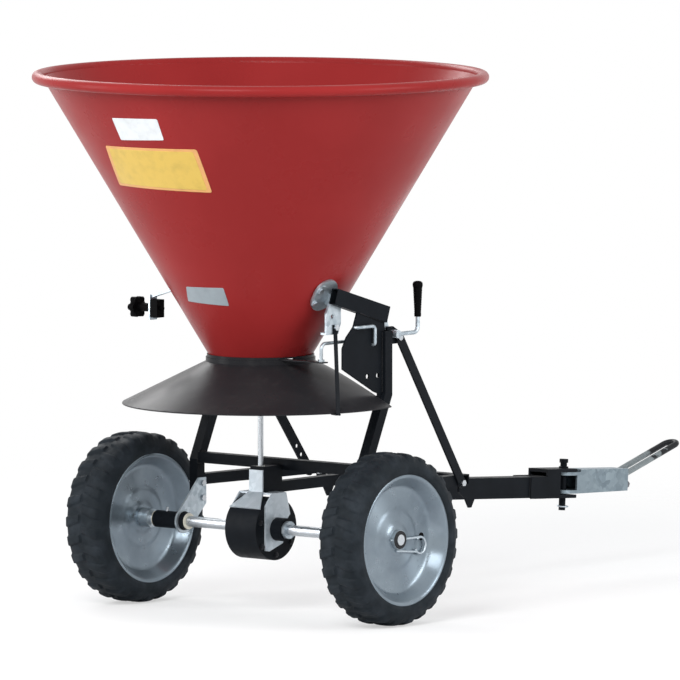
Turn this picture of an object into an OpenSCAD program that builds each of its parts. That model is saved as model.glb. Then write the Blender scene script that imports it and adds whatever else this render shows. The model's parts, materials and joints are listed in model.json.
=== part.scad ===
// Towed broadcast spreader: a cone hopper over a ground-driven spinner.
// Inside the modules X runs forward from the axle to the tow loop, Y to the left and Z up
// from the ground. placed() then moves the origin under the middle of the whole object.

/* [Wheels] */
// Radius of a tyre over its lugs
tyre_r = 200; // [185:1:215]
// Width of a tyre across its lugs at the crown
tyre_crown_w = 66; // [50:1:80]
// Height of a tread lug
lug_h = 5; // [3:0.5:10]
// Tread lugs on each side of a tyre
lug_count = 26; // [16:1:30]
// Outer radius of the rim's rolled edges
rim_r = 152.6; // [145:0.2:156]
// Width of the rim over its rolled edges
rim_w = 108; // [90:1:120]
// Depth of the dish from the rolled edge to the wheel disc
dish_depth = 33; // [20:1:40]
// Radius of the flat wheel disc
disc_r = 122; // [100:1:130]
// Thickness of the pressed sheet of a rim
rim_sheet = 3; // [2:0.5:4]
// Distance between the middles of the two wheels
track = 776; // [740:2:820]
// Outer radius of a wheel hub
hub_r = 22; // [19:0.5:28]

/* [Axle] */
// Radius of the axle
axle_r = 12.5; // [10:0.5:14]
// Running clearance of a shaft in its bush, on the radius
run_clear = 0.05; // [0.02:0.01:0.09]
// Outer radius of the bearing tubes
bearing_r = 20; // [18.5:0.5:24]
// Length of a bearing tube
bearing_len = 96; // [70:1:98]
// Radius of the wire of the spring clips
clip_wire_r = 3; // [2:0.25:4]
// Radius of the round eye of an axle clip
clip_eye_r = 19; // [14:1:22]
// Length of an axle clip from the axle to the middle of its eye
clip_len = 80; // [60:1:90]

/* [Gearbox] */
// Outer radius of the gear cover
cover_r = 73; // [70:1:78]
// Width of the gear cover between its faces
cover_w = 94; // [80:1:110]
// Wall of the gear cover
cover_wall = 3; // [2:0.5:4]
// Length of the boss on each face of the cover
boss_len = 33; // [20:1:45]
// Outer radius of the bosses
boss_r = 27; // [22:1:32]
// Module of the gear teeth
gear_module = 3; // [2.6:0.1:3.2]
// Teeth on the crown gear
crown_teeth = 40; // [36:4:40]
// Teeth on the pinion
pinion_teeth = 10; // [9:1:10]
// Radius of the upright drive shaft
shaft_r = 6.5; // [5:0.5:8]

/* [Frame] */
// Side of the square frame tube
tube_w = 25; // [20:1:30]
// Wall of the square frame tube
tube_wall = 2.5; // [2:0.5:4]
// Distance from the middle of the object to the middle of an upright
upright_y = 253; // [250:1:262]
// Place of the uprights' feet in front of the axle
foot_x = 66; // [60:1:72]
// Place of the uprights' top in front of the axle
top_x = 147; // [140:1:160]
// Height of the uprights' feet
foot_z = 232; // [228:1:245]
// Height at which the uprights bend forward
low_bend_z = 338; // [325:1:350]
// Height at which the uprights bend back to plumb
high_bend_z = 517; // [500:1:540]
// Height of the uprights' top
top_z = 664; // [656:1:670]
// Height of the hopper arms' middle over the uprights
arm_z = 701.8; // [696:0.2:712]
// Height of the middle of the lower rails
rail_z = 292; // [285:1:300]
// Place of the front cross member's middle
front_x = 470; // [440:1:500]
// Distance from the middle of the object to a side rail at the front
front_y = 217; // [200:1:230]
// Height of the upper crossbar's middle
crossbar_z = 345; // [340:1:352]
// Width of a brace bar
brace_w = 25; // [20:1:30]
// Thickness of plates and flat bars
plate_t = 5; // [4:0.5:6]
// Height of the two holes in the right side plate
side_hole_z = 562; // [556:1:575]
// Radius of the two holes in the right side plate
side_hole_r = 6; // [4:0.5:8]
// Distance between the two holes in the right side plate
side_hole_gap = 37; // [30:1:45]

/* [Drawbar] */
// Side of the square drawbar
drawbar_w = 50; // [44:1:54]
// Wall of the drawbar
drawbar_wall = 4; // [3:0.5:6]
// Place of the drawbar's rear end
drawbar_x = 420; // [400:2:430]
// Downward slope of the drawbar, in degrees
drawbar_slope = 3.68; // [3:0.02:4]
// Length of the drawbar
drawbar_len = 596; // [520:2:700]
// Reach of the hitch fork in front of the drawbar
fork_len = 112; // [104:1:124]
// Height of the hitch fork
fork_h = 70; // [66:1:80]
// Thickness of the fork's plates
fork_t = 8; // [6:0.5:10]
// Radius of the hitch pin
pin_r = 8; // [6:0.5:10]
// Length of the hitch head in front of the fork
head_len = 200; // [160:2:240]
// Width of the hitch head
head_w = 52; // [46:1:60]
// Radius of the round bar of the tow loop
loop_bar_r = 7; // [6:0.5:9]
// Half the width of the tow loop, to the middle of its bar
loop_r = 17; // [15:0.5:20]
// Length of the tow loop to the middle of its round end
loop_len = 198; // [170:2:220]
// Upward bend of the tow loop from the drawbar, in degrees
loop_rise = 20; // [15:1:26]

/* [Hopper] */
// Outer radius of the hopper at its foot
hopper_low_r = 122; // [115:1:128]
// Outer radius of the hopper's rolled rim
hopper_rim_r = 530; // [480:2:560]
// Height of the hopper's foot
hopper_low_z = 607; // [604:1:612]
// Height of the hopper's top
hopper_top_z = 1263; // [1200:1:1300]
// Radius of the rolled rim's section
rim_bead_r = 13; // [10:0.5:16]
// Wall of the hopper
hopper_wall = 2; // [1.5:0.5:4]

/* [Spreading] */
// Radius of the skirt at its lower edge
skirt_r = 322; // [310:1:330]
// Height of the skirt's lower edge
skirt_low_z = 491; // [485:1:500]
// Thickness of the skirt
skirt_t = 2.5; // [2:0.25:4]
// Radius of the spinner disc
spinner_r = 185; // [150:1:195]
// Height of the spinner disc's lower face
spinner_z = 512; // [505:1:520]
// Height of the spinner's vanes
vane_h = 22; // [15:1:26]
// Travel of the shutter from closed to open
shutter_travel = 20; // [12:1:22]
// Swing of the shutter lever from closed to open, in degrees
lever_swing = 30; // [24:1:34]

/* [Lever] */
// Height of the lever's pivot
pivot_z = 655; // [650:1:662]
// Radius of the shutter lever's round bar
lever_bar_r = 5; // [4:0.5:6]
// Reach of the lever in front of its pivot
lever_reach = 75; // [64:1:100]
// Height of the lever's top above its pivot
lever_rise = 119; // [100:1:130]
// Length of the grip
grip_len = 83; // [70:1:90]
// Radius of the grip at its top
grip_top_r = 12; // [10:0.5:15]
// Radius of the grip at its foot
grip_low_r = 8; // [7.5:0.5:10]
// Radius of the lever's pivot pin
pivot_r = 5; // [4:0.5:6]

/* [Clamp on the left] */
// Outer radius of the star knob
knob_r = 26; // [20:1:30]
// Distance from the middle of the object to the knob's inner face
knob_y = 339; // [335:1:370]

/* [Hidden] */
$fn = 64;

// Reach of a cut past the face that it opens
over = 1;
// Gap between a moving piece and its guide
slide_gap = 0.4;
// Gap around pieces that are bolted or pressed together
seat_gap = 0.02;
// Gap between a bolt's shank and its hole, on the radius
bolt_gap = 0.05;

// Wheels
axle_z = tyre_r;
wheel_y = track / 2;
bead_r = rim_r - 6.6;
tyre_bulge = 4;
tyre_w = rim_w + 2 * tyre_bulge;
hub_in = wheel_y - rim_w / 2;
hub_step = 14;
hub_out = wheel_y + rim_w / 2 - dish_depth + hub_step;
clip_y = hub_out - hub_step / 2;
axle_end = hub_out + 3;
bearing_in = hub_in - 15 - bearing_len;
bearing_bore = bearing_r - 4;
bush_len = 20;
lug_lean = 16;
lug_t = 20;

// Gears
crown_r = gear_module * crown_teeth / 2;
pinion_r = gear_module * pinion_teeth / 2;
tooth_h = 2 * gear_module;
tooth_root = gear_module * 0.72;
tooth_tip = gear_module * 0.4;
crown_in_r = crown_r - 6;
crown_out_r = crown_r + 5;
crown_t = 8;
crown_face_y = pinion_r + gear_module + 1;
pinion_low_z = axle_z + crown_in_r - 1;
pinion_high_z = axle_z + crown_out_r;
cover_face_y = cover_w / 2;
boss_end = cover_face_y + boss_len;
collar_w = 9;
shaft_low_z = pinion_low_z - 2;

// Frame
tube_half = tube_w / 2;
cross_back_x = foot_x - tube_half;
upright_in_y = upright_y - tube_half;
rail_start_x = foot_x + tube_half;
rail_end_x = front_x - tube_half;
bend_slope = (top_x - foot_x) / (high_bend_z - low_bend_z);
upright_path = [[foot_x, foot_z], [foot_x, low_bend_z], [top_x, high_bend_z], [top_x, top_z]];
upright_front_x = top_x + tube_half;
upright_back_x = top_x - tube_half;
block_w = 40;
block_back_x = -14;
block_low_z = rail_z - 8;
block_top_z = crossbar_z - 1;
yoke_t = 4;
flare_t = 3;
flare_lean = 40.6;
flare_gap = 0.3;
bearing_bolt_z = [foot_z + 17, foot_z + 52];
bolt_r = 4;

// Drawbar, in its own sloping frame from its rear end
drawbar_half = drawbar_w / 2;
cross_low_z = rail_z - 14;
drawbar_z = cross_low_z - seat_gap - drawbar_half / cos(drawbar_slope)
    + (rail_end_x - drawbar_x) * tan(drawbar_slope);
end_plate_t = 6;
plate_low_z = drawbar_z - drawbar_half - 3;
plate_high_z = rail_z + tube_half;
fork_start = drawbar_len + seat_gap;
fork_end = drawbar_len + fork_len;
fork_box_end = drawbar_len + 50;
fork_low = -drawbar_half - 1.5;
fork_high = fork_low + fork_h;
fork_half_w = drawbar_half + 5;
pin_at = fork_end - 16;
lug_half_w = head_w / 2;
lug_t_head = 8;
head_wall = 5;
head_low = fork_low + fork_t + 2;
head_mid = fork_high - fork_t - slide_gap;
head_high = fork_high - 2;
head_end = fork_end + head_len;
head_taper = 5;
head_sweep_r = norm([fork_end - pin_at, fork_half_w]) + 1.5;
pin_head_h = 22;
pin_tail = 31;
clip_ring_r = 9;
small_wire_r = 2;

// Middle of the whole object along X, under which the origin lies
loop_lean = drawbar_slope - loop_rise;
loop_base = head_high - 13;
tow_tip_x = drawbar_x + head_end * cos(drawbar_slope) + loop_base * sin(drawbar_slope)
    + loop_len * cos(loop_lean) + (loop_r + loop_bar_r) * cos(loop_lean);
middle_x = (tow_tip_x - hopper_rim_r) / 2;

// Hopper and skirt
bead_mid_r = hopper_rim_r - rim_bead_r;
bead_mid_z = hopper_top_z - rim_bead_r;
cone_top_r = bead_mid_r - rim_bead_r + hopper_wall;
hopper_slope = (cone_top_r - hopper_low_r) / (bead_mid_z - hopper_low_z);
cone_angle = atan(hopper_slope);
wall_r = hopper_wall / cos(cone_angle);
function hopper_r_at(z) = hopper_low_r + (z - hopper_low_z) * hopper_slope;
floor_t = 3;
floor_z = hopper_low_z - floor_t;
collar_r = hopper_low_r + 3;
collar_in_r = hopper_low_r - 7;
collar_low_z = hopper_low_z - 19;
skirt_neck_z = floor_z - 4;
skirt_neck_r = collar_r + skirt_t;
skirt_top_z = collar_low_z + 2;
skirt_cut_x = foot_x + (skirt_low_z - low_bend_z) * bend_slope - tube_half - 8;
function skirt_z_at(r) =
    skirt_low_z + (skirt_r - r) * (skirt_top_z - skirt_low_z) / (skirt_r - skirt_neck_r);

// Shutter and its lever
shutter_t = 3;
shutter_z = floor_z - slide_gap - shutter_t;
shutter_half_w = 58;
shutter_back_x = -60;
shutter_front_x = 50;
outlet_len = shutter_travel - 2;
outlet_x = 2;
outlet_in_y = 18;
outlet_w = 32;
shutter_arm_w = 20;
shaft_slot = 3;
guide_back_x = shutter_back_x + shutter_arm_w + shutter_travel + 8;
guide_front_x = 68;
guide_t = 4;
pivot_x = upright_front_x + 15;
bracket_out_y = upright_y - 2.5;
bracket_in_y = bracket_out_y - plate_t;
lever_y = upright_y + 13.5;
crank_out_y = upright_in_y - 2.5;
crank_in_y = crank_out_y - plate_t;
crank_pin_r = 4;
crank_len = shutter_travel / (2 * sin(lever_swing / 2));
link_out_y = crank_in_y - 2;
link_t = 8;
link_y = link_out_y - link_t / 2;
link_x = pivot_x - crank_len * sin(lever_swing / 2);
link_z = pivot_z + crank_len * cos(lever_swing / 2);
link_wire_r = 4;
link_foot_x = shutter_back_x + shutter_arm_w / 2;
lever_bend_r = 14;

// Braces, side plate and hopper arms
brace_top = [upright_front_x + 38, -(upright_y + 1.8), pivot_z - 9];
brace_low_x = front_x - 21;
rail_lean = (upright_y - front_y) / (front_x - rail_start_x);
brace_low = [brace_low_x,
    -(upright_y - (brace_low_x - rail_start_x) * rail_lean + tube_half + plate_t / 2 + 0.45),
    rail_z - 7];
brace_vec = brace_low - brace_top;
brace_len = norm(brace_vec);
arm_h = 38;
arm_w = 22;
clamp_z = 757;
clamp_x = -23;
clamp_r = 34;
clamp_half_gap = 8;
clamp_seat = 0.3;
arm_top = [top_x + 2, -upright_y, arm_z];
arm_end_z = clamp_z - 3.5;
arm_end_y = hopper_r_at(arm_end_z + arm_h / 2) + (clamp_seat + plate_t) / cos(cone_angle)
    + arm_w / 2 + 1.5;
arm_end = [-20, -arm_end_y, arm_end_z];
side_hole_x = 101;
hanger_out_y = crank_out_y - 2;
hanger_low_z = pivot_z + 10;
hanger_hole = [-21, hanger_low_z + 42];
stay_bolt_z = hanger_low_z + 16;
stay_top = [-12, -(hanger_out_y + seat_gap + 1.5), hanger_low_z + 5];
stay_turn = 16.5;
stay_low_r = skirt_r + 7;
stay_low = [-stay_low_r * sin(stay_turn), -stay_low_r * cos(stay_turn), skirt_low_z - 1.5];
stay_w = 12;
stay_t = 3;

// Clamp on the left of the hopper
cable_x = clamp_x - 15;
cable_z = clamp_z - 58;
cable_plate_y = knob_y - 42;
cable_plate_t = 5;
cable_arm_w = 16;
cable_top_z = clamp_z - 27;
stud_r = 5;
knob_t = 16;

module placed() {
    translate([-middle_x, 0, 0]) children();
}

// Repeats a right-hand piece on the left-hand side
module on_left() {
    mirror([0, 1, 0]) children();
}

module on_both_sides() {
    children();
    on_left() children();
}

// Turns a solid drawn up from z = 0 so that it lies along Y from a place
module along_y(x, y, z) {
    translate([x, y, z]) rotate([-90, 0, 0]) children();
}

// Places a solid drawn along X so that it runs from one point towards another
module from_to(a, b) {
    d = b - a;
    translate(a) rotate([0, atan2(-d.z, norm([d.x, d.y])), atan2(d.y, d.x)]) children();
}

// Places a solid given in the sloping drawbar's own frame
module on_drawbar() {
    translate([drawbar_x, 0, drawbar_z]) rotate([0, drawbar_slope, 0]) children();
}

// Places a solid on the right of the hopper's wall, with Z outwards and Y up the wall
module on_hopper(x, z) {
    rotate([0, 0, asin(x / hopper_r_at(z))])
        translate([0, -hopper_r_at(z), z]) rotate([90 + cone_angle, 0, 0]) children();
}

// Bolt with a hexagon head above z = 0, its shank below and a nut from the depth nut_at.
// A flat bolt has a low round head.
module hex_bolt(r, nut_at, flat = false) {
    nut_h = r * 1.6;
    head_r = r * 1.9;
    if (flat)
        cylinder(r = head_r, h = r * 0.6);
    else
        cylinder(r = head_r, h = r * 1.3, $fn = 6);
    translate([0, 0, -nut_at - nut_h - r]) cylinder(r = r, h = nut_at + nut_h + r + 0.5);
    translate([0, 0, -nut_at - nut_h]) cylinder(r = head_r, h = nut_h, $fn = 6);
}

// Square tube along X with open ends
module square_tube(len, w, h, wall) {
    difference() {
        translate([0, -w / 2, -h / 2]) cube([len, w, h]);
        translate([-over, -w / 2 + wall, -h / 2 + wall])
            cube([len + 2 * over, w - 2 * wall, h - 2 * wall]);
    }
}

function unit(v) = v / norm(v);
function normal2(v) = [-v.y, v.x];
// Offset of a path's point along the mitre of its two stretches
function mitre(path, i, d) =
    let (last = len(path) - 1,
         a = unit(i > 0 ? path[i] - path[i - 1] : path[1] - path[0]),
         b = unit(i < last ? path[i + 1] - path[i] : path[last] - path[last - 1]),
         m = unit(normal2(a) + normal2(b)))
    path[i] + m * d / (m * normal2(a));
function strip(path, half) = concat(
    [for (i = [0 : len(path) - 1]) mitre(path, i, half)],
    [for (i = [len(path) - 1 : -1 : 0]) mitre(path, i, -half)]);
// Path with both of its ends drawn out by a length
function longer(path, by) =
    let (last = len(path) - 1)
    concat([path[0] - unit(path[1] - path[0]) * by],
        [for (i = [1 : last - 1]) path[i]],
        [path[last] + unit(path[last] - path[last - 1]) * by]);

// Extrudes an outline given in X and Z over a range of Y
module in_xz(y_low, t) {
    translate([0, y_low + t, 0]) rotate([90, 0, 0]) linear_extrude(t) children();
}

// Wheels: the middle lies at the origin, the axle along Y and the outside at -Y
module tread_lug(side) {
    rotate([0, 0, side * lug_lean])
        translate([-lug_t / 2, side > 0 ? 1 : -tyre_crown_w / 2 - 8, 0])
            cube([lug_t, tyre_crown_w / 2 + 7, lug_h + 14]);
}

module tyre() {
    body_r = tyre_r - lug_h;
    half = tyre_w / 2;
    crown = tyre_crown_w / 2;
    lip = rim_w / 2 - rim_sheet - seat_gap;
    rotate([90, 0, 0]) rotate_extrude($fn = 128) polygon([
        [bead_r + seat_gap, -lip], [rim_r + 0.4, -lip], [rim_r + 0.4, -half],
        [rim_r + 10, -half], [rim_r + 20, -half + 3], [body_r - 16, -crown - 13],
        [body_r - 5, -crown - 4], [body_r, -crown + 12],
        [body_r, crown - 12], [body_r - 5, crown + 4],
        [body_r - 16, crown + 13], [rim_r + 20, half - 3], [rim_r + 10, half],
        [rim_r + 0.4, half],
        [rim_r + 0.4, lip], [bead_r + seat_gap, lip]]);
    for (i = [0 : lug_count - 1])
        for (side = [-1, 1])
            rotate([0, (i + side / 4) * 360 / lug_count, 0])
                intersection() {
                    translate([0, 0, body_r - 12]) tread_lug(side);
                    rotate([90, 0, 0])
                        cylinder(r = tyre_r, h = tyre_w - 30, center = true, $fn = 128);
                }
}

// One pressed half of a rim, from the middle plane to its rolled edge at -Y
module rim_half() {
    s = rim_sheet;
    edge = rim_w / 2;
    floor_y = edge - dish_depth;
    hole_r = 9;
    rotate([90, 0, 0]) difference() {
        rotate_extrude($fn = 128) polygon([
            [hub_r + seat_gap, floor_y - s], [disc_r, floor_y - s],
            [bead_r - s - 2, edge - 9], [bead_r - s, edge - 9], [bead_r - s, seat_gap],
            [bead_r, seat_gap], [bead_r, edge - s], [rim_r, edge - s], [rim_r, edge],
            [bead_r - 1, edge], [disc_r + 2, floor_y],
            [hub_r + 14, floor_y], [hub_r + 8, floor_y + 4],
            [hub_r + seat_gap, floor_y + 4]]);
        translate([disc_r - 30, 0, 0]) cylinder(r = hole_r, h = edge);
    }
}

module rim() {
    rim_half();
    mirror([0, 1, 0]) rim_half();
}

// Hub tube from the inner side to a length outside the wheel's middle
module hub(bore_r, out_len, pinned) {
    len_in = wheel_y - hub_in;
    rotate([90, 0, 0]) difference() {
        translate([0, 0, -len_in]) cylinder(r = hub_r, h = len_in + out_len);
        translate([0, 0, -len_in - over]) cylinder(r = bore_r, h = len_in + out_len + 2 * over);
        if (pinned)
            translate([0, 0, clip_y - wheel_y]) rotate([0, 90, 0])
                cylinder(r = clip_wire_r + bolt_gap, h = 3 * hub_r, center = true);
    }
}

module at_right_wheel() {
    translate([0, -wheel_y, axle_z]) children();
}

module at_left_wheel() {
    on_left() at_right_wheel() children();
}

module tyre_right() { color("#24262b") placed() at_right_wheel() tyre(); }
module tyre_left() { color("#24262b") placed() at_left_wheel() tyre(); }
module rim_right() { color("#9aa6b0") placed() at_right_wheel() rim(); }
module rim_left() { color("#9aa6b0") placed() at_left_wheel() rim(); }

// The clip drives the right wheel through its hub; the left hub is shorter and turns freely
module hub_right() {
    color("#8f9aa3") placed() at_right_wheel()
        hub(axle_r + seat_gap, hub_out - wheel_y, true);
}

module hub_left() {
    color("#8f9aa3") placed() at_left_wheel()
        hub(axle_r + run_clear, hub_out - wheel_y - hub_step + 2, false);
}

// Axle and what turns with it
module axle() {
    color("#a9b4bc") placed() difference() {
        along_y(0, -axle_end, axle_z) cylinder(r = axle_r, h = 2 * axle_end);
        for (side = [-1, 1])
            translate([0, side * clip_y, axle_z]) rotate([0, 90, 0])
                cylinder(r = clip_wire_r + bolt_gap, h = 3 * axle_r, center = true);
    }
}

module axle_collars() {
    color("#a9b4bc") placed() on_both_sides()
        along_y(0, boss_end + 0.5, axle_z) difference() {
            cylinder(r = 20.5, h = collar_w);
            translate([0, 0, -over]) cylinder(r = axle_r + seat_gap, h = collar_w + 2 * over);
        }
}

// Spring clip of bent wire: one leg in the axle, an eye in front and a leg under the hub
module axle_clip() {
    back_x = -hub_r - 6;
    turn = 290;
    grip_at = -130;
    grip_start = [clip_len + clip_eye_r * cos(grip_at), 0, clip_eye_r * (sin(grip_at) - 1)];
    grip_end = [-6, 0, -hub_r - clip_wire_r - 0.6];
    translate([back_x, 0, 0]) rotate([0, 90, 0])
        cylinder(r = clip_wire_r, h = clip_len - back_x, $fn = 32);
    translate([clip_len, 0, -clip_eye_r]) rotate([90, 90 - turn, 0])
        rotate_extrude(angle = turn) translate([clip_eye_r, 0])
            circle(r = clip_wire_r, $fn = 32);
    from_to(grip_start, grip_end) rotate([0, 90, 0])
        cylinder(r = clip_wire_r, h = norm(grip_end - grip_start), $fn = 32);
}

module axle_clips() {
    color("#b9c3ca") placed() for (side = [-1, 1])
        translate([0, side * clip_y, axle_z]) axle_clip();
}

// Bevel gears: the crown's teeth face the pinion on the upright shaft
module crown_gear() {
    back_y = crown_face_y + crown_t;
    color("#7d7f82") placed() translate([0, 0, axle_z]) {
        difference() {
            union() {
                along_y(0, -back_y, 0) cylinder(r = crown_out_r, h = crown_t);
                along_y(0, -back_y - 6, 0) cylinder(r = 20, h = crown_t + 10);
            }
            along_y(0, -back_y - 10, 0) cylinder(r = axle_r + seat_gap, h = crown_t + 20);
        }
        for (i = [0 : crown_teeth - 1])
            rotate([0, i * 360 / crown_teeth, 0])
                translate([0, -crown_face_y - 0.5, crown_in_r])
                    linear_extrude(crown_out_r - crown_in_r) polygon([
                        [-tooth_root, 0], [tooth_root, 0],
                        [tooth_tip, tooth_h + 0.5], [-tooth_tip, tooth_h + 0.5]]);
    }
}

module pinion() {
    root_r = pinion_r - gear_module * 1.1;
    tip_r = pinion_r + gear_module * 0.8;
    color("#8a8c8f") placed() translate([0, 0, pinion_low_z])
        difference() {
            union() {
                cylinder(r = root_r, h = pinion_high_z - pinion_low_z);
                for (i = [0 : pinion_teeth - 1])
                    rotate([0, 0, i * 360 / pinion_teeth])
                        linear_extrude(pinion_high_z - pinion_low_z) polygon([
                            [root_r - 1, -tooth_root], [tip_r, -tooth_tip],
                            [tip_r, tooth_tip], [root_r - 1, tooth_root]]);
            }
            translate([0, 0, -over])
                cylinder(r = shaft_r + seat_gap, h = pinion_high_z - pinion_low_z + 2 * over);
        }
}

// Spinner shaft with the disc under the hopper and the agitator inside it
module drive_shaft() {
    color("#c3ccd2") placed()
        translate([0, 0, shaft_low_z]) cylinder(r = shaft_r, h = hopper_low_z + 62 - shaft_low_z);
}

module spinner() {
    hub_out_r = 16;
    disc_t = 3;
    hub_h = 20;
    vane_in_r = 26;
    color("#6f777d") placed() translate([0, 0, spinner_z]) difference() {
        union() {
            cylinder(r = spinner_r, h = disc_t, $fn = 128);
            cylinder(r = hub_out_r, h = hub_h);
            for (i = [0 : 3])
                rotate([0, 0, 45 + i * 90]) translate([vane_in_r, -1.5, disc_t - 0.5])
                    cube([spinner_r - vane_in_r - 3, 3, vane_h + 0.5]);
        }
        translate([0, 0, -over]) cylinder(r = shaft_r + seat_gap, h = hub_h + 2 * over);
    }
}

module agitator() {
    hub_h = 22;
    base_z = hopper_low_z + 30;
    arm_len = hopper_r_at(base_z) - 45;
    color("#8a9298") placed() translate([0, 0, base_z]) difference() {
        union() {
            cylinder(r = 13, h = hub_h);
            for (turn = [0, 180])
                rotate([0, 0, turn]) translate([0, 0, hub_h / 2]) rotate([0, 78, 0])
                    cylinder(r = 4, h = arm_len, $fn = 24);
        }
        translate([0, 0, -over]) cylinder(r = shaft_r + seat_gap, h = hub_h + 2 * over);
    }
}

// Gearbox covers, yoke and bearing block
module gear_cover_half() {
    difference() {
        union() {
            along_y(0, seat_gap, axle_z) cylinder(r = cover_r, h = cover_face_y - seat_gap, $fn = 96);
            along_y(0, seat_gap, axle_z) cylinder(r = boss_r, h = boss_end - seat_gap);
        }
        along_y(0, -over, axle_z)
            cylinder(r = cover_r - cover_wall, h = cover_face_y - cover_wall + over, $fn = 96);
        along_y(0, -over, axle_z) cylinder(r = axle_r + run_clear, h = boss_end + 2 * over);
        translate([0, 0, axle_z]) cylinder(r = shaft_r + 1.5, h = cover_r + over);
    }
}

module gear_cover_left() { color("#2a2d31") placed() gear_cover_half(); }
module gear_cover_right() { color("#2a2d31") placed() on_left() gear_cover_half(); }

module gearbox_yoke() {
    web_z = block_low_z - yoke_t;
    cheek_out_y = cover_face_y + yoke_t;
    flare_up = 42.5;
    flare_down = 10;
    color("#a9b4bc") placed() difference() {
        union() {
            translate([block_back_x - yoke_t, -cheek_out_y, web_z])
                cube([50, 2 * cheek_out_y, yoke_t - seat_gap]);
            translate([block_back_x - yoke_t, -block_w / 2, web_z])
                cube([yoke_t - seat_gap, block_w, block_top_z - 8 - web_z]);
            translate([0, 0, axle_z]) rotate([0, -flare_lean, 0])
                translate([0, 0, cover_r + flare_gap]) linear_extrude(flare_t) polygon([
                    [-flare_down, -cover_face_y], [flare_up, -block_w / 2],
                    [flare_up, block_w / 2], [-flare_down, cover_face_y]]);
            on_both_sides() in_xz(cover_face_y + seat_gap, yoke_t - seat_gap) polygon([
                [-42, web_z - 24], [-18, web_z + yoke_t - 1], [32, web_z + yoke_t - 1],
                [46, axle_z + 32], [34, axle_z + 20], [20, axle_z - 34],
                [-28, axle_z - 50], [-42, axle_z - 48]]);
        }
        translate([0, 0, web_z - over]) cylinder(r = shaft_r + 2, h = yoke_t + 2 * over);
        along_y(0, -boss_end, axle_z) cylinder(r = boss_r + seat_gap, h = 2 * boss_end);
    }
}

module shaft_block() {
    color("#1d1f22") placed() difference() {
        translate([block_back_x, -block_w / 2, block_low_z])
            cube([cross_back_x - block_back_x - seat_gap, block_w, block_top_z - block_low_z]);
        translate([0, 0, block_low_z - over])
            cylinder(r = shaft_r + 4 + seat_gap, h = block_top_z - block_low_z + 2 * over);
    }
}

// Plain bushes: four on the axle and one on the upright shaft
module bushes() {
    flange_t = 3;
    color("#d8d4c4") placed() {
        on_both_sides() for (end = [0, 1])
            translate([0, bearing_in + end * bearing_len, axle_z])
                mirror([0, end, 0]) rotate([-90, 0, 0]) difference() {
                    union() {
                        cylinder(r = bearing_bore - seat_gap, h = bush_len);
                        translate([0, 0, -flange_t]) cylinder(r = bearing_r - 1, h = flange_t - seat_gap);
                    }
                    translate([0, 0, -flange_t - over])
                        cylinder(r = axle_r + run_clear, h = bush_len + flange_t + 2 * over);
                }
        translate([0, 0, block_low_z]) difference() {
            cylinder(r = shaft_r + 4, h = block_top_z - block_low_z);
            translate([0, 0, -over])
                cylinder(r = shaft_r + run_clear, h = block_top_z - block_low_z + 2 * over);
        }
    }
}

module bearing_tube() {
    along_y(0, bearing_in, axle_z) difference() {
        cylinder(r = bearing_r, h = bearing_len);
        translate([0, 0, -over]) cylinder(r = bearing_bore, h = bearing_len + 2 * over);
    }
}

module bearing_tube_left() { color("#1d1f22") placed() bearing_tube(); }
module bearing_tube_right() { color("#1d1f22") placed() on_left() bearing_tube(); }

module bearing_plates() {
    eye_r = bearing_r + 9;
    top = bearing_bolt_z[1] + 13;
    low = bearing_bolt_z[0] - 13;
    color("#8f9aa3") placed() on_both_sides() difference() {
        in_xz(upright_in_y - plate_t - seat_gap, plate_t) {
            translate([0, axle_z]) circle(r = eye_r);
            polygon([[-eye_r * 0.8, axle_z + eye_r * 0.6], [foot_x - tube_half, top],
                [foot_x + tube_half, top], [foot_x + tube_half, low],
                [eye_r * 0.6, axle_z - eye_r * 0.8]]);
        }
        along_y(0, bearing_in, axle_z) cylinder(r = bearing_r + seat_gap, h = bearing_len);
        for (z = bearing_bolt_z)
            along_y(foot_x, upright_in_y - 20, z) cylinder(r = bolt_r + bolt_gap, h = 40);
    }
}

// Bent tube that rises from the axle to the hopper's side
module upright() {
    difference() {
        in_xz(-upright_y - tube_half, tube_w) polygon(strip(upright_path, tube_half));
        in_xz(-upright_y - tube_half + tube_wall, tube_w - 2 * tube_wall)
            polygon(strip(longer(upright_path, over), tube_half - tube_wall));
        for (z = bearing_bolt_z)
            along_y(foot_x, -upright_y - tube_w, z) cylinder(r = bolt_r + bolt_gap, h = 2 * tube_w);
    }
}

module upright_right() { color("#17191c") placed() upright(); }
module upright_left() { color("#17191c") placed() on_left() upright(); }

module crossbar() {
    color("#17191c") placed() translate([foot_x, -upright_in_y + seat_gap, crossbar_z])
        rotate([0, 0, 90]) square_tube(2 * (upright_in_y - seat_gap), tube_w, tube_w, tube_wall);
}

// Side rail: its ends lie flat on the upright and on the cross member
module side_rail() {
    y_low = upright_y - (rail_end_x - rail_start_x) * rail_lean;
    start = rail_start_x + seat_gap;
    end = rail_end_x - seat_gap;
    difference() {
        translate([0, 0, rail_z - tube_half]) linear_extrude(tube_w) polygon([
            [start, -upright_y - tube_half], [end, -y_low - tube_half],
            [end, -y_low + tube_half], [start, -upright_y + tube_half]]);
        translate([0, 0, rail_z - tube_half + tube_wall])
            linear_extrude(tube_w - 2 * tube_wall) polygon([
                [start - over, -upright_y - tube_half + tube_wall],
                [end + over, -y_low - tube_half + tube_wall],
                [end + over, -y_low + tube_half - tube_wall],
                [start - over, -upright_y + tube_half - tube_wall]]);
        along_y(brace_low.x, brace_low.y - tube_w, brace_low.z)
            cylinder(r = bolt_r + bolt_gap, h = 3 * tube_w);
    }
}

module side_rail_right() { color("#17191c") placed() side_rail(); }
module side_rail_left() { color("#17191c") placed() on_left() side_rail(); }

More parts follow.
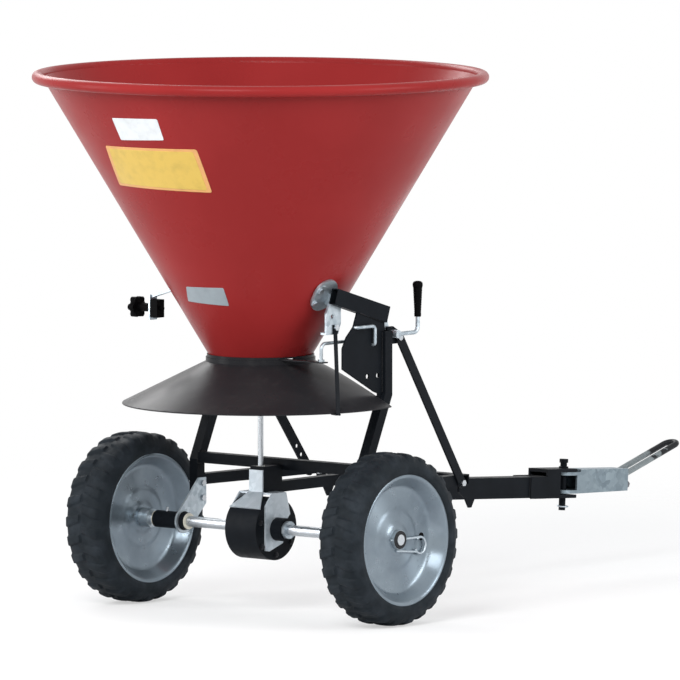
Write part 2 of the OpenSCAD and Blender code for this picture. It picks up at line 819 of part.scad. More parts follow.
module centre_rail() {
    start = cross_back_x + seat_gap;
    color("#17191c") placed() translate([start, 0, rail_z])
        square_tube(drawbar_x - end_plate_t - 2 * seat_gap - start, tube_w, tube_w, tube_wall);
}

module front_crossmember() {
    half_len = front_y + tube_half;
    color("#17191c") placed()
        translate([front_x, -half_len, cross_low_z + tube_half]) rotate([0, 0, 90])
            square_tube(2 * half_len, tube_w, tube_w, tube_wall);
}

// Flat bar with round ends from the upright's bracket down to the side rail
module brace(holes) {
    end_r = brace_w / 2;
    near_low = holes ? [brace_len - 74, brace_len - 48] : [];
    from_to(brace_top, brace_low) difference() {
        translate([0, plate_t / 2, 0]) rotate([90, 0, 0]) union() {
            cylinder(r = end_r, h = plate_t);
            translate([0, -end_r, 0]) cube([brace_len, brace_w, plate_t]);
            translate([brace_len, 0, 0]) cylinder(r = end_r, h = plate_t);
        }
        for (x = concat([0, brace_len], near_low))
            translate([x, -brace_w, 0]) rotate([-90, 0, 0])
                cylinder(r = bolt_r + (x > 0 && x < brace_len ? 1 : bolt_gap + 0.6), h = 2 * brace_w);
    }
}

module brace_right() { color("#17191c") placed() brace(false); }
module brace_left() { color("#17191c") placed() on_left() brace(true); }

// Space above the underside of a hopper arm
module over_arm() {
    from_to(arm_top, arm_end) translate([-30, -2 * arm_w, -arm_h / 2 - seat_gap])
        cube([norm(arm_end - arm_top) + 60, 4 * arm_w, 3 * arm_h]);
}

// Plates that carry the hopper arms: a large one on the right, a gusset on the left
module side_plates() {
    edge_x = upright_back_x - seat_gap;
    top_low = top_z + seat_gap;
    y_low = -upright_y - plate_t / 2;
    color("#1b1d20") placed() {
        difference() {
            in_xz(y_low, plate_t) polygon([
                [-6, side_hole_z + 22], [-6, side_hole_z + 70], [8, pivot_z + 2],
                [33, pivot_z + 25], [50, arm_z + 20], [top_x - 4, arm_z + 20],
                [top_x - 4, top_low], [edge_x, top_low], [edge_x, high_bend_z + 3],
                [edge_x - 6.6, high_bend_z - 11], [edge_x - 14.5, high_bend_z + 3],
                [edge_x - 26.5, high_bend_z + 7]]);
            over_arm();
            for (x = [-0.5, 0.5])
                along_y(side_hole_x + x * side_hole_gap, -upright_y - tube_w, side_hole_z)
                    cylinder(r = side_hole_r, h = 2 * tube_w);
        }
        on_left() difference() {
            in_xz(y_low, plate_t) polygon([
                [edge_x, top_z - 64], [edge_x, top_low], [top_x - 4, top_low],
                [top_x - 4, arm_z + 20], [50, arm_z + 20], [40, pivot_z + 45],
                [100, pivot_z - 15]]);
            over_arm();
        }
    }
}

// Rod bent to an upside-down L on the outside of the right side plate
module stop_hook() {
    rod_r = 4;
    reach = 6.5;
    bend_r = 9;
    back_x = 36;
    top = pivot_z + 23.5;
    low = pivot_z - 20;
    face_y = -upright_y - plate_t / 2 - seat_gap;
    rod_y = face_y - reach;
    corner_x = side_hole_x - bend_r;
    color("#b9c3ca") placed() {
        translate([back_x + reach, face_y, top]) rotate([0, 0, 180])
            rotate_extrude(angle = 90, $fn = 48) translate([reach, 0])
                circle(r = rod_r, $fn = 32);
        translate([back_x + reach, rod_y, top]) rotate([0, 90, 0])
            cylinder(r = rod_r, h = corner_x - back_x - reach, $fn = 32);
        translate([corner_x, rod_y, top - bend_r]) rotate([90, 0, 0])
            rotate_extrude(angle = 90, $fn = 48) translate([bend_r, 0])
                circle(r = rod_r, $fn = 32);
        translate([side_hole_x, rod_y, low + reach])
            cylinder(r = rod_r, h = top - bend_r - low - reach, $fn = 32);
        translate([side_hole_x, face_y, low + reach]) rotate([90, 0, 90]) rotate([0, 0, 180])
            rotate_extrude(angle = 90, $fn = 48) translate([reach, 0])
                circle(r = rod_r, $fn = 32);
    }
}

module brace_brackets() {
    end_x = brace_top.x + 16;
    color("#17191c") placed() on_both_sides() difference() {
        in_xz(-bracket_out_y, plate_t) polygon([
            [upright_front_x + seat_gap, pivot_z + 17], [pivot_x + 6, pivot_z + 17],
            [end_x, pivot_z - 2], [end_x, pivot_z - 24], [upright_front_x + seat_gap, pivot_z - 24]]);
        along_y(pivot_x, -bracket_out_y - over, pivot_z)
            cylinder(r = pivot_r + run_clear, h = plate_t + 2 * over);
        along_y(brace_top.x, -upright_y - tube_w, brace_top.z)
            cylinder(r = bolt_r + bolt_gap, h = 2 * tube_w);
    }
}

// Arm from an upright's top to the clamp on the hopper's side
module hopper_arm() {
    from_to(arm_top, arm_end) square_tube(norm(arm_end - arm_top), arm_w, arm_h, tube_wall);
}

module hopper_arm_right() { color("#1b1d20") placed() hopper_arm(); }
module hopper_arm_left() { color("#1b1d20") placed() on_left() hopper_arm(); }

// Clamp plate on the hopper's wall with its spacer to the arm
module hopper_clamps() {
    spacer_w = 22;
    spacer_h = 28;
    spacer_len = 16;
    color("#aeb9c0") placed() on_both_sides() difference() {
        on_hopper(clamp_x, clamp_z) translate([0, 0, clamp_seat]) {
            linear_extrude(plate_t) hull() for (s = [-1, 1])
                translate([0, s * clamp_half_gap]) circle(r = clamp_r);
            translate([10, -spacer_h / 2 - 8, plate_t - 1])
                cube([spacer_w, spacer_h, spacer_len]);
        }
        from_to(arm_top, arm_end)
            translate([0, -arm_w / 2 - seat_gap, -arm_h / 2 - seat_gap])
                cube([norm(arm_end - arm_top) + 30, arm_w + 2 * seat_gap + 20, arm_h + 2 * seat_gap]);
        hopper_bolt_places() translate([0, 0, -20]) cylinder(r = bolt_r + bolt_gap, h = 60);
    }
}

module hopper_bolt_places() {
    on_hopper(clamp_x, clamp_z) for (y = [-22, 14])
        translate([-20, y, 0]) children();
}

module hopper_bolts() {
    color("#c3ccd2") placed() on_both_sides() hopper_bolt_places()
        translate([0, 0, clamp_seat + plate_t + seat_gap]) rotate([0, 0, 30])
            hex_bolt(bolt_r, clamp_seat + plate_t + hopper_wall + 2.4);
}

module rail_gussets() {
    low = cross_low_z - 56;
    color("#17191c") placed() on_both_sides() in_xz(-front_y - plate_t / 2, plate_t) polygon([
        [rail_end_x, cross_low_z - seat_gap], [front_x + tube_half, cross_low_z - seat_gap],
        [front_x + 47, cross_low_z - 28], [front_x + 47, cross_low_z - 33],
        [front_x + 33, low], [front_x + 24, low], [front_x + 10, cross_low_z - 33],
        [rail_end_x, cross_low_z - 16]]);
}

// Hopper: one sheet cone whose top is rolled outwards, open at the top and at its foot
module hopper() {
    color("#96282a") placed() difference() {
        rotate_extrude($fn = 180) union() {
            polygon([[hopper_low_r - wall_r, hopper_low_z], [hopper_low_r, hopper_low_z],
                [cone_top_r, bead_mid_z], [cone_top_r - wall_r, bead_mid_z]]);
            translate([bead_mid_r, bead_mid_z]) difference() {
                circle(r = rim_bead_r, $fn = 48);
                circle(r = rim_bead_r - hopper_wall, $fn = 48);
                translate([-6, -rim_bead_r - over]) square([6, rim_bead_r]);
            }
        }
        on_both_sides() hopper_bolt_places() translate([0, 0, -15])
            cylinder(r = bolt_r + bolt_gap, h = 20);
    }
}

// Floor with two outlets and the guides that carry the shutter
module hopper_floor() {
    guide_low = shutter_z - slide_gap - guide_t;
    lip_in_y = shutter_half_w - 7;
    wall_y = shutter_half_w + slide_gap;
    color("#2a2826") placed() difference() {
        union() {
            translate([0, 0, floor_z + seat_gap])
                cylinder(r = collar_r, h = floor_t - 2 * seat_gap, $fn = 96);
            on_both_sides() {
                translate([guide_back_x, wall_y, guide_low])
                    cube([guide_front_x - guide_back_x, guide_t, floor_z + 0.5 - guide_low]);
                translate([guide_back_x, lip_in_y, guide_low])
                    cube([guide_front_x - guide_back_x, wall_y - lip_in_y + 1, guide_t]);
            }
        }
        translate([0, 0, floor_z - over]) cylinder(r = shaft_r + run_clear, h = floor_t + 2 * over);
        on_both_sides() translate([outlet_x, outlet_in_y, floor_z - over])
            cube([outlet_len, outlet_w, floor_t + 2 * over]);
    }
}

module hopper_collar() {
    window_z = shutter_z - slide_gap;
    color("#2b312d") placed() difference() {
        translate([0, 0, collar_low_z]) cylinder(r = collar_r, h = floor_z - collar_low_z, $fn = 96);
        translate([0, 0, collar_low_z - over])
            cylinder(r = collar_in_r, h = floor_z - collar_low_z + 2 * over, $fn = 96);
        translate([shutter_back_x - 1, -collar_r - over, window_z])
            cube([shutter_arm_w + shutter_travel + 2, collar_r, floor_z + over - window_z]);
    }
}

// Skirt that catches what the spinner throws up: a sheet cone cut off behind the uprights
module skirt() {
    foot = skirt_t / cos(atan((skirt_top_z - skirt_low_z) / (skirt_r - skirt_neck_r)));
    in_r = collar_r + seat_gap;
    color("#26241f") placed() difference() {
        rotate_extrude($fn = 180) polygon([
            [in_r, skirt_neck_z], [skirt_neck_r, skirt_neck_z], [skirt_neck_r, skirt_top_z],
            [skirt_r - 1, skirt_low_z + foot], [skirt_r, skirt_low_z + foot - 1],
            [skirt_r, skirt_low_z], [skirt_r - 3, skirt_low_z],
            [in_r, skirt_top_z - foot]]);
        translate([skirt_cut_x, -skirt_r - over, skirt_low_z - over])
            cube([skirt_r, 2 * skirt_r + 2 * over, skirt_neck_z]);
    }
}

// Flat bar bent outwards from its hanger down to the skirt's edge
module skirt_stay() {
    d = stay_low - stay_top;
    back = atan2(-d.x, -d.z);
    out = asin(-d.y / norm(d));
    color("#1b1d20") placed() {
        difference() {
            translate([stay_top.x - 8, stay_top.y - stay_t / 2, stay_top.z - 3])
                cube([16, stay_t, stay_bolt_z + 9 - stay_top.z]);
            along_y(stay_top.x, stay_top.y - tube_w, stay_bolt_z)
                cylinder(r = bolt_r + bolt_gap, h = 2 * tube_w);
        }
        translate(stay_top) rotate([-out, back, 0])
            translate([-stay_w / 2, -stay_t / 2, -norm(d)]) cube([stay_w, stay_t, norm(d)]);
        rotate([0, 0, -90 - stay_turn])
            translate([skirt_r - 14, -stay_w / 2, skirt_low_z - stay_t - seat_gap])
                cube([23, stay_w, stay_t]);
    }
}

// Plate under the right hopper arm that carries the skirt's stay
module stay_hanger() {
    in_y = hanger_out_y - plate_t;
    color("#aeb9c0") placed() difference() {
        union() {
            in_xz(-hanger_out_y, plate_t) polygon([
                [-42, hanger_low_z], [-42, hanger_low_z + 50], [-28, arm_z + 40],
                [10, arm_z + 40], [10, hanger_low_z + 25], [0, hanger_low_z]]);
            translate([-42, -in_y - 1, hanger_low_z]) cube([42, 13, plate_t]);
        }
        over_arm();
        for (hole = [[hanger_hole.x, hanger_hole.y, 5], [stay_top.x, stay_bolt_z, bolt_r + bolt_gap]])
            along_y(hole[0], -hanger_out_y - over, hole[1])
                cylinder(r = hole[2], h = plate_t + 2 * over);
    }
}

// Shutter plate with a side arm that reaches past the hopper's foot
module shutter_plate() {
    color("#9aa6b0") placed() difference() {
        union() {
            translate([shutter_back_x, -shutter_half_w, shutter_z])
                cube([shutter_front_x - shutter_back_x, 2 * shutter_half_w, shutter_t]);
            translate([shutter_back_x, -link_y - 12, shutter_z])
                cube([shutter_arm_w, link_y + 12, shutter_t]);
        }
        on_both_sides() translate([outlet_x - shutter_travel, outlet_in_y, shutter_z - over])
            cube([outlet_len, outlet_w, shutter_t + 2 * over]);
        translate([-shutter_travel - shaft_r - shaft_slot, -shaft_r - shaft_slot, shutter_z - over])
            cube([shutter_travel + 2 * (shaft_r + shaft_slot), 2 * (shaft_r + shaft_slot),
                shutter_t + 2 * over]);
        translate([link_foot_x, -link_y, shutter_z - over])
            cylinder(r = link_wire_r + seat_gap, h = shutter_t + 2 * over);
    }
}

// Bent rod from the shutter's arm up to the lever's crank, which works in its slot
module shutter_link() {
    head_w_link = 24;
    slot_h = crank_len * (1 - cos(lever_swing / 2)) + 2 * crank_pin_r + 2;
    slot_w = 2 * (crank_pin_r + 0.3);
    head_h = slot_h + 14;
    slot_z = link_z + crank_len * (1 - cos(lever_swing / 2)) / 2;
    bend_r = 14;
    rod_z = pivot_z - 10;
    color("#b9c3ca") placed() {
        translate([link_foot_x, -link_y, shutter_z]) cylinder(
            r = link_wire_r, h = rod_z - bend_r - shutter_z, $fn = 32);
        translate([link_foot_x, -link_y, shutter_z + shutter_t + seat_gap])
            cylinder(r = link_wire_r + 4, h = 5, $fn = 6);
        translate([link_foot_x + bend_r, -link_y, rod_z - bend_r]) rotate([-90, 0, 0])
            rotate([0, 0, 180]) rotate_extrude(angle = 90, $fn = 48)
                translate([bend_r, 0]) circle(r = link_wire_r, $fn = 32);
        translate([link_foot_x + bend_r, -link_y, rod_z]) rotate([0, 90, 0]) cylinder(
            r = link_wire_r, h = link_x - link_foot_x - 2 * bend_r, $fn = 32);
        translate([link_x - bend_r, -link_y, rod_z + bend_r]) rotate([90, 0, 0])
            rotate([0, 0, -90]) rotate_extrude(angle = 90, $fn = 48)
                translate([bend_r, 0]) circle(r = link_wire_r, $fn = 32);
        translate([link_x, -link_y, rod_z + bend_r]) cylinder(
            r = link_wire_r, h = slot_z - head_h / 2 - rod_z - bend_r + 1, $fn = 32);
        difference() {
            translate([link_x - head_w_link / 2, -link_out_y, slot_z - head_h / 2])
                cube([head_w_link, link_t, head_h]);
            translate([link_x - slot_w / 2, -link_out_y - over, slot_z - slot_h / 2])
                cube([slot_w, link_t + 2 * over, slot_h]);
        }
    }
}

// Lever of round bar with its pivot pin and the crank behind the bracket
module lever_bar() {
    eye_t = 12;
    eye_low_y = -lever_y - eye_t / 2;
    color("#a9b4bc") placed() translate([pivot_x, 0, pivot_z]) {
        along_y(0, eye_low_y, 0) cylinder(r = 9.5, h = -bracket_out_y - 0.5 - eye_low_y);
        along_y(0, eye_low_y, 0) cylinder(r = pivot_r, h = lever_y + eye_t / 2 - crank_in_y);
        translate([0, -lever_y, 0]) rotate([0, 90, 0])
            cylinder(r = lever_bar_r, h = lever_reach - lever_bend_r, $fn = 32);
        translate([lever_reach - lever_bend_r, -lever_y, lever_bend_r]) rotate([90, 0, 0])
            rotate([0, 0, -90]) rotate_extrude(angle = 90, $fn = 48)
                translate([lever_bend_r, 0]) circle(r = lever_bar_r, $fn = 32);
        translate([lever_reach, -lever_y, lever_bend_r])
            cylinder(r = lever_bar_r, h = lever_rise - lever_bend_r - 8, $fn = 32);
        rotate([0, -lever_swing / 2, 0]) {
            translate([-8, -crank_out_y, -8]) cube([16, plate_t, crank_len + 16]);
            along_y(0, -crank_in_y - 1, crank_len)
                cylinder(r = crank_pin_r, h = link_t + 5);
        }
    }
}

module lever_grip() {
    color("#101113") placed()
        translate([pivot_x + lever_reach, -lever_y, pivot_z + lever_rise - grip_len])
            difference() {
                union() {
                    cylinder(r1 = grip_low_r, r2 = grip_top_r, h = grip_len - 5);
                    translate([0, 0, grip_len - 5]) cylinder(r1 = grip_top_r, r2 = grip_top_r - 4, h = 5);
                }
                translate([0, 0, -over])
                    cylinder(r = lever_bar_r + seat_gap, h = grip_len - 8 + over + seat_gap, $fn = 32);
            }
}

// Drawbar, its end plate and the fork that holds the hitch head
module drawbar() {
    color("#1b1d20") placed() on_drawbar()
        square_tube(drawbar_len, drawbar_w, drawbar_w, drawbar_wall);
}

module drawbar_plate() {
    color("#17191c") placed() difference() {
        translate([drawbar_x - end_plate_t - 3, -drawbar_half - 5, plate_low_z])
            cube([end_plate_t + 3, drawbar_w + 10, plate_high_z - plate_low_z]);
        on_drawbar() translate([-seat_gap, -drawbar_w, -2 * drawbar_w])
            cube([drawbar_w, 2 * drawbar_w, 4 * drawbar_w]);
        translate([drawbar_x - end_plate_t - over - 3, -drawbar_w, plate_low_z - over])
            cube([3 + over, 2 * drawbar_w, plate_high_z]);
    }
}

module hitch_fork() {
    overlap = 60;
    front_wall = 6;
    wall = fork_half_w - drawbar_half;
    color("#17191c") placed() on_drawbar() difference() {
        union() {
            for (z = [fork_low, fork_high - fork_t])
                translate([fork_start, -fork_half_w, z])
                    cube([fork_end - fork_start, 2 * fork_half_w, fork_t]);
            translate([fork_start, -fork_half_w, fork_low])
                cube([fork_box_end - fork_start, 2 * fork_half_w, fork_h]);
            on_both_sides() translate([drawbar_len - overlap, drawbar_half + seat_gap, -drawbar_half])
                cube([overlap + 2, wall - seat_gap, drawbar_w]);
        }
        translate([fork_start - over, -drawbar_half, fork_low + fork_t])
            cube([fork_box_end - front_wall - fork_start + over, drawbar_w, fork_h - 2 * fork_t]);
        translate([pin_at, 0, fork_low - over]) cylinder(r = pin_r + seat_gap, h = fork_h + 2 * over);
    }
}

module hitch_pin() {
    color("#1b1d20") placed() on_drawbar() difference() {
        union() {
            translate([pin_at, 0, fork_low - pin_tail]) cylinder(r = pin_r, h = fork_h + pin_tail + 1);
            translate([pin_at, 0, fork_high + seat_gap]) {
                cylinder(r = pin_r + 3.5, h = 4);
                cylinder(r = pin_r, h = pin_head_h);
                translate([0, 0, pin_head_h - 9]) cylinder(r = pin_r + 2.5, h = 9);
            }
        }
        translate([pin_at, 0, fork_low - pin_tail + 10]) rotate([90, 0, 0])
            cylinder(r = small_wire_r + bolt_gap, h = 4 * pin_r, center = true);
    }
}

module hitch_pin_clip() {
    color("#b9c3ca") placed() on_drawbar() translate([pin_at, 0, fork_low - pin_tail + 10]) {
        translate([0, -pin_r - 5, 0]) rotate([-90, 0, 0])
            cylinder(r = small_wire_r, h = 2 * pin_r + 12, $fn = 32);
        translate([-clip_ring_r, -pin_r - 5, 0]) rotate([0, 0, -250])
            rotate_extrude(angle = 250, $fn = 48) translate([clip_ring_r, 0])
                circle(r = small_wire_r, $fn = 32);
    }
}

// Hitch head: a hollow tapering box that turns on the hitch pin between the fork's plates
module hitch_head() {
    body_x = pin_at + 22;
    front_block = 22;
    top_lug = head_mid - lug_t_head;
    color("#a3aeb6") placed() on_drawbar() difference() {
        union() {
            difference() {
                in_xz(-lug_half_w, head_w) polygon([
                    [body_x, head_low], [head_end, head_low + head_taper],
                    [head_end, head_high], [pin_at + head_sweep_r, head_high],
                    [pin_at + head_sweep_r, head_mid], [body_x, head_mid]]);
                in_xz(-lug_half_w + head_wall, head_w - 2 * head_wall) polygon([
                    [body_x - over, head_low + head_wall],
                    [head_end - front_block, head_low + head_taper + head_wall],
                    [head_end - front_block, head_mid - head_wall],
                    [body_x - over, head_mid - head_wall]]);
            }
            for (z = [head_low, top_lug]) {
                translate([pin_at, 0, z]) cylinder(r = lug_half_w, h = lug_t_head);
                translate([pin_at, -lug_half_w, z]) cube([body_x - pin_at + 1, head_w, lug_t_head]);
            }
        }
        translate([pin_at, 0, fork_low]) cylinder(r = pin_r + run_clear, h = fork_h);
        translate([pin_at, 0, head_mid]) cylinder(r = head_sweep_r, h = 2 * fork_t);
        translate([head_end, 0, loop_base]) rotate([0, -loop_rise, 0]) tow_loop_bar(seat_gap);
    }
}

// Round bar of the tow loop, drawn forwards from its foot in the hitch head
module tow_loop_bar(grow) {
    foot = 16;
    on_both_sides() translate([-foot - grow, loop_r, 0]) rotate([0, 90, 0])
        cylinder(r = loop_bar_r + grow, h = loop_len + foot + grow, $fn = 32);
    translate([loop_len, 0, 0]) rotate([0, 0, -90])
        rotate_extrude(angle = 180, $fn = 64) translate([loop_r, 0])
            circle(r = loop_bar_r + grow, $fn = 32);
}

module tow_loop() {
    color("#14161a") placed() on_drawbar()
        translate([head_end, 0, loop_base]) rotate([0, -loop_rise, 0]) tow_loop_bar(0);
}

// Bolts of the frame, each with its nut
module frame_bolts() {
    color("#c3ccd2") placed() {
        on_both_sides() {
            for (z = bearing_bolt_z)
                translate([foot_x, -upright_in_y + plate_t + 2 * seat_gap, z]) rotate([-90, 0, 0])
                    hex_bolt(bolt_r, plate_t + tube_w + 3 * seat_gap);
            translate([brace_low.x, brace_low.y - plate_t / 2 - 0.8, brace_low.z]) rotate([90, 0, 0])
                hex_bolt(bolt_r, plate_t + tube_w + 2.2);
            translate([brace_top.x, brace_top.y - plate_t / 2 - 0.8, brace_top.z]) rotate([90, 0, 0])
                hex_bolt(bolt_r, 2 * plate_t + 2.7, true);
        }
        translate([stay_top.x, stay_top.y - stay_t / 2 - seat_gap, stay_bolt_z]) rotate([90, 0, 0])
            hex_bolt(bolt_r, stay_t + plate_t + 3 * seat_gap);
    }
}

// Bracket, clamp and star knob on the hopper's left side
module cable_bracket() {
    foot_z = clamp_z - 3;
    foot_y = hopper_r_at(foot_z) - 3;
    color("#aeb9c0") placed() difference() {
        union() {
            translate([cable_x - cable_arm_w / 2, 0, 0]) rotate([90, 0, 90])
                linear_extrude(cable_arm_w) polygon([
                    [foot_y, foot_z - 3], [cable_plate_y + 1, cable_top_z - 7],
                    [cable_plate_y + 1, cable_top_z], [foot_y, foot_z + 4]]);
            translate([cable_x - 12.5, cable_plate_y, cable_z - 28])
                cube([25, cable_plate_t, cable_top_z - cable_z + 28]);
        }
        on_left() on_hopper(clamp_x, clamp_z) translate([-2 * clamp_r, -2 * clamp_r, -4 * plate_t])
            cube([4 * clamp_r, 4 * clamp_r, 5 * plate_t + clamp_seat + seat_gap]);
        along_y(cable_x, cable_plate_y - over, cable_z)
            cylinder(r = stud_r + run_clear, h = cable_plate_t + 2 * over);
    }
}

module cable_clamp() {
    clamp_len = 22;
    color("#15171a") placed() difference() {
        translate([cable_x - 13, cable_plate_y - seat_gap - clamp_len, cable_z - 22])
            cube([26, clamp_len, 42]);
        along_y(cable_x, cable_plate_y - clamp_len - 2, cable_z)
            cylinder(r = stud_r + run_clear, h = clamp_len + 4);
    }
}

module clamp_knob() {
    lobes = 6;
    core_r = knob_r * 0.72;
    lobe_r = knob_r * 0.28;
    color("#101113") placed() translate([cable_x, 0, cable_z]) {
        along_y(0, knob_y, 0) cylinder(r = core_r, h = knob_t);
        for (i = [0 : lobes - 1])
            rotate([0, i * 360 / lobes, 0])
                along_y(knob_r - lobe_r, knob_y, 0) cylinder(r = lobe_r, h = knob_t);
        along_y(0, cable_plate_y - 30, 0) cylinder(r = stud_r, h = knob_y - cable_plate_y + 34);
        along_y(0, cable_plate_y + cable_plate_t + slide_gap, 0)
            cylinder(r = stud_r + 5, h = knob_y - cable_plate_y - cable_plate_t - slide_gap + 1);
    }
}

hopper();
hopper_floor();
hopper_collar();
skirt();
skirt_stay();
stay_hanger();
upright_right();
upright_left();
crossbar();
side_rail_right();
side_rail_left();
centre_rail();
front_crossmember();
brace_right();
brace_left();
side_plates();
stop_hook();
brace_brackets();
hopper_arm_right();
hopper_arm_left();
hopper_clamps();
rail_gussets();
bearing_plates();
bearing_tube_right();
bearing_tube_left();
bushes();
shaft_block();
gearbox_yoke();
gear_cover_right();
gear_cover_left();
drawbar();
drawbar_plate();
hitch_fork();
hitch_pin();
hitch_pin_clip();
frame_bolts();
hopper_bolts();
cable_bracket();
cable_clamp();
axle();
crown_gear();
axle_collars();
axle_clips();
tyre_right();
rim_right();
hub_right();
tyre_left();
rim_left();
hub_left();
drive_shaft();
pinion();
spinner();
agitator();
shutter_plate();
shutter_link();
lever_bar();
lever_grip();
hitch_head();
tow_loop();
clamp_knob();
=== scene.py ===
import json
import math
import bmesh
import bpy
from mathutils import Matrix, Vector


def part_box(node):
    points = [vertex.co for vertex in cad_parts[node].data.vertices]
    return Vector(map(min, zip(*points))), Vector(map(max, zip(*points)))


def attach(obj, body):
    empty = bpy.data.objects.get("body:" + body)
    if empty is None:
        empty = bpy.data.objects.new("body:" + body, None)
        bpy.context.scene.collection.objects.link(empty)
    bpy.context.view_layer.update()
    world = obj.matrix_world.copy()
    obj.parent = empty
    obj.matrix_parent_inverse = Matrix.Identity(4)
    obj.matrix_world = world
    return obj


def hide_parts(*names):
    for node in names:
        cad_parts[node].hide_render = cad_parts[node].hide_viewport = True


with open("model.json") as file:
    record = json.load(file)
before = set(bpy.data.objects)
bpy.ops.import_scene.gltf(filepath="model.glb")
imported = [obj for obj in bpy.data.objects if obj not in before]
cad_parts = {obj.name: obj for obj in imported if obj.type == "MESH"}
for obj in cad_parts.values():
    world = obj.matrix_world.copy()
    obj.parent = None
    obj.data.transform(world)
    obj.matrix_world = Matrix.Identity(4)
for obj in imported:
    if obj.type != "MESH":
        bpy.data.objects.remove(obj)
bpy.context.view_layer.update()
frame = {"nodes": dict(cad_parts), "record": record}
nodes = frame["nodes"]


# Places that the CAD model fixes

def middle(node):
    """Middle of a CAD node's box."""
    low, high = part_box(node)
    return (Vector(low) + Vector(high)) / 2


AXLE_X = middle("axle").x
AXLE_Z = middle("axle").z
WHEEL_Y = abs(middle("tyre_right").y)
HOPPER_LOW, HOPPER_HIGH = (Vector(corner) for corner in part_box("hopper"))
HOPPER_FOOT_R = 0.122
HOPPER_RIM_R = (HOPPER_HIGH.x - HOPPER_LOW.x) / 2
BEAD_R = 0.013
SHEET = 0.002
CONE_TOP_R = HOPPER_RIM_R - 2 * BEAD_R + SHEET
CONE_TOP_Z = HOPPER_HIGH.z - BEAD_R
CONE_SLOPE = (CONE_TOP_R - HOPPER_FOOT_R) / (CONE_TOP_Z - HOPPER_LOW.z)
CONE_LEAN = math.atan(CONE_SLOPE)


# Materials

def linear(r, g, b):
    """Screen colour from 0 to 255 as the linear colour of a shader."""
    def one(value):
        value /= 255
        if value <= 0.04045:
            return value / 12.92
        return ((value + 0.055) / 1.055) ** 2.4
    return (one(r), one(g), one(b), 1)


class Shader:
    """A material's node tree with short ways to add to it."""

    def __init__(self, name, roughness, metallic=0.0, specular=0.25):
        self.material = bpy.data.materials.new(name)
        self.material.use_nodes = True
        self.tree = self.material.node_tree
        self.surface = self.tree.nodes["Principled BSDF"]
        self.surface.inputs["Roughness"].default_value = roughness
        self.surface.inputs["Metallic"].default_value = metallic
        self.surface.inputs["Specular IOR Level"].default_value = specular
        self.places = self.add("ShaderNodeTexCoord").outputs["Object"]

    def add(self, kind, **settings):
        node = self.tree.nodes.new(kind)
        for key, value in settings.items():
            setattr(node, key, value)
        return node

    def link(self, start, end):
        self.tree.links.new(start, end)

    def noise(self, scale, detail=4.0, roughness=0.55, stretch=(1, 1, 1)):
        """Noise of a scale in features per metre, drawn out along an axis by a small stretch."""
        mapping = self.add("ShaderNodeMapping")
        mapping.inputs["Scale"].default_value = stretch
        texture = self.add("ShaderNodeTexNoise")
        texture.inputs["Scale"].default_value = scale
        texture.inputs["Detail"].default_value = detail
        texture.inputs["Roughness"].default_value = roughness
        self.link(self.places, mapping.inputs["Vector"])
        self.link(mapping.outputs["Vector"], texture.inputs["Vector"])
        return texture.outputs["Fac"]

    def cells(self, scale):
        """Random value for each crystal-like cell."""
        texture = self.add("ShaderNodeTexVoronoi")
        texture.inputs["Scale"].default_value = scale
        self.link(self.places, texture.inputs["Vector"])
        split = self.add("ShaderNodeSeparateColor")
        self.link(texture.outputs["Color"], split.inputs["Color"])
        return split.outputs["Red"]

    def remap(self, value, low, high, to_low, to_high):
        node = self.add("ShaderNodeMapRange")
        node.inputs["From Min"].default_value = low
        node.inputs["From Max"].default_value = high
        node.inputs["To Min"].default_value = to_low
        node.inputs["To Max"].default_value = to_high
        self.link(value, node.inputs["Value"])
        return node.outputs["Result"]

    def blend(self, factor, first, second):
        """Colour that goes from the first to the second with a factor."""
        node = self.add("ShaderNodeMix", data_type="RGBA")
        self.link(factor, node.inputs["Factor"])
        for socket, colour in ((node.inputs[6], first), (node.inputs[7], second)):
            if isinstance(colour, tuple):
                socket.default_value = colour
            else:
                self.link(colour, socket)
        return node.outputs[2]

    def colour(self, value):
        socket = self.surface.inputs["Base Color"]
        if isinstance(value, tuple):
            socket.default_value = value
        else:
            self.link(value, socket)

    def rough(self, value):
        self.link(value, self.surface.inputs["Roughness"])

    def bump(self, height, distance, strength=1.0):
        node = self.add("ShaderNodeBump")
        node.inputs["Distance"].default_value = distance
        node.inputs["Strength"].default_value = strength
        self.link(height, node.inputs["Height"])
        self.link(node.outputs["Normal"], self.surface.inputs["Normal"])


def faded(colour, share):
    """Colour made lighter or darker by a share."""
    return tuple(channel * share for channel in colour[:3]) + (1,)


def red_paint():
    s = Shader("red_paint", 0.3, specular=0.08)
    fade = s.remap(s.noise(2.5, 3), 0.35, 0.65, 0, 1)
    dust = s.remap(s.noise(60, 6), 0.66, 0.88, 0, 0.25)
    paint = s.blend(fade, linear(150, 43, 43), linear(139, 37, 37))
    s.colour(s.blend(dust, paint, linear(160, 62, 60)))
    s.rough(s.remap(s.noise(9, 4), 0.3, 0.7, 0.24, 0.36))
    s.bump(s.noise(420, 2), 0.00008, 0.5)
    return s.material


def black_paint(name, colour, roughness, specular):
    s = Shader(name, roughness, specular=specular)
    shade = s.remap(s.noise(14, 4), 0.35, 0.65, 0, 1)
    specks = s.remap(s.noise(180, 5), 0.7, 0.78, 0, 0.5)
    body = s.blend(shade, colour, faded(colour, 1.35))
    s.colour(s.blend(specks, body, faded(colour, 2.6)))
    s.rough(s.remap(s.noise(60, 3), 0.3, 0.7, roughness - 0.06, roughness + 0.08))
    s.bump(s.noise(700, 2), 0.0001, 0.5)
    return s.material


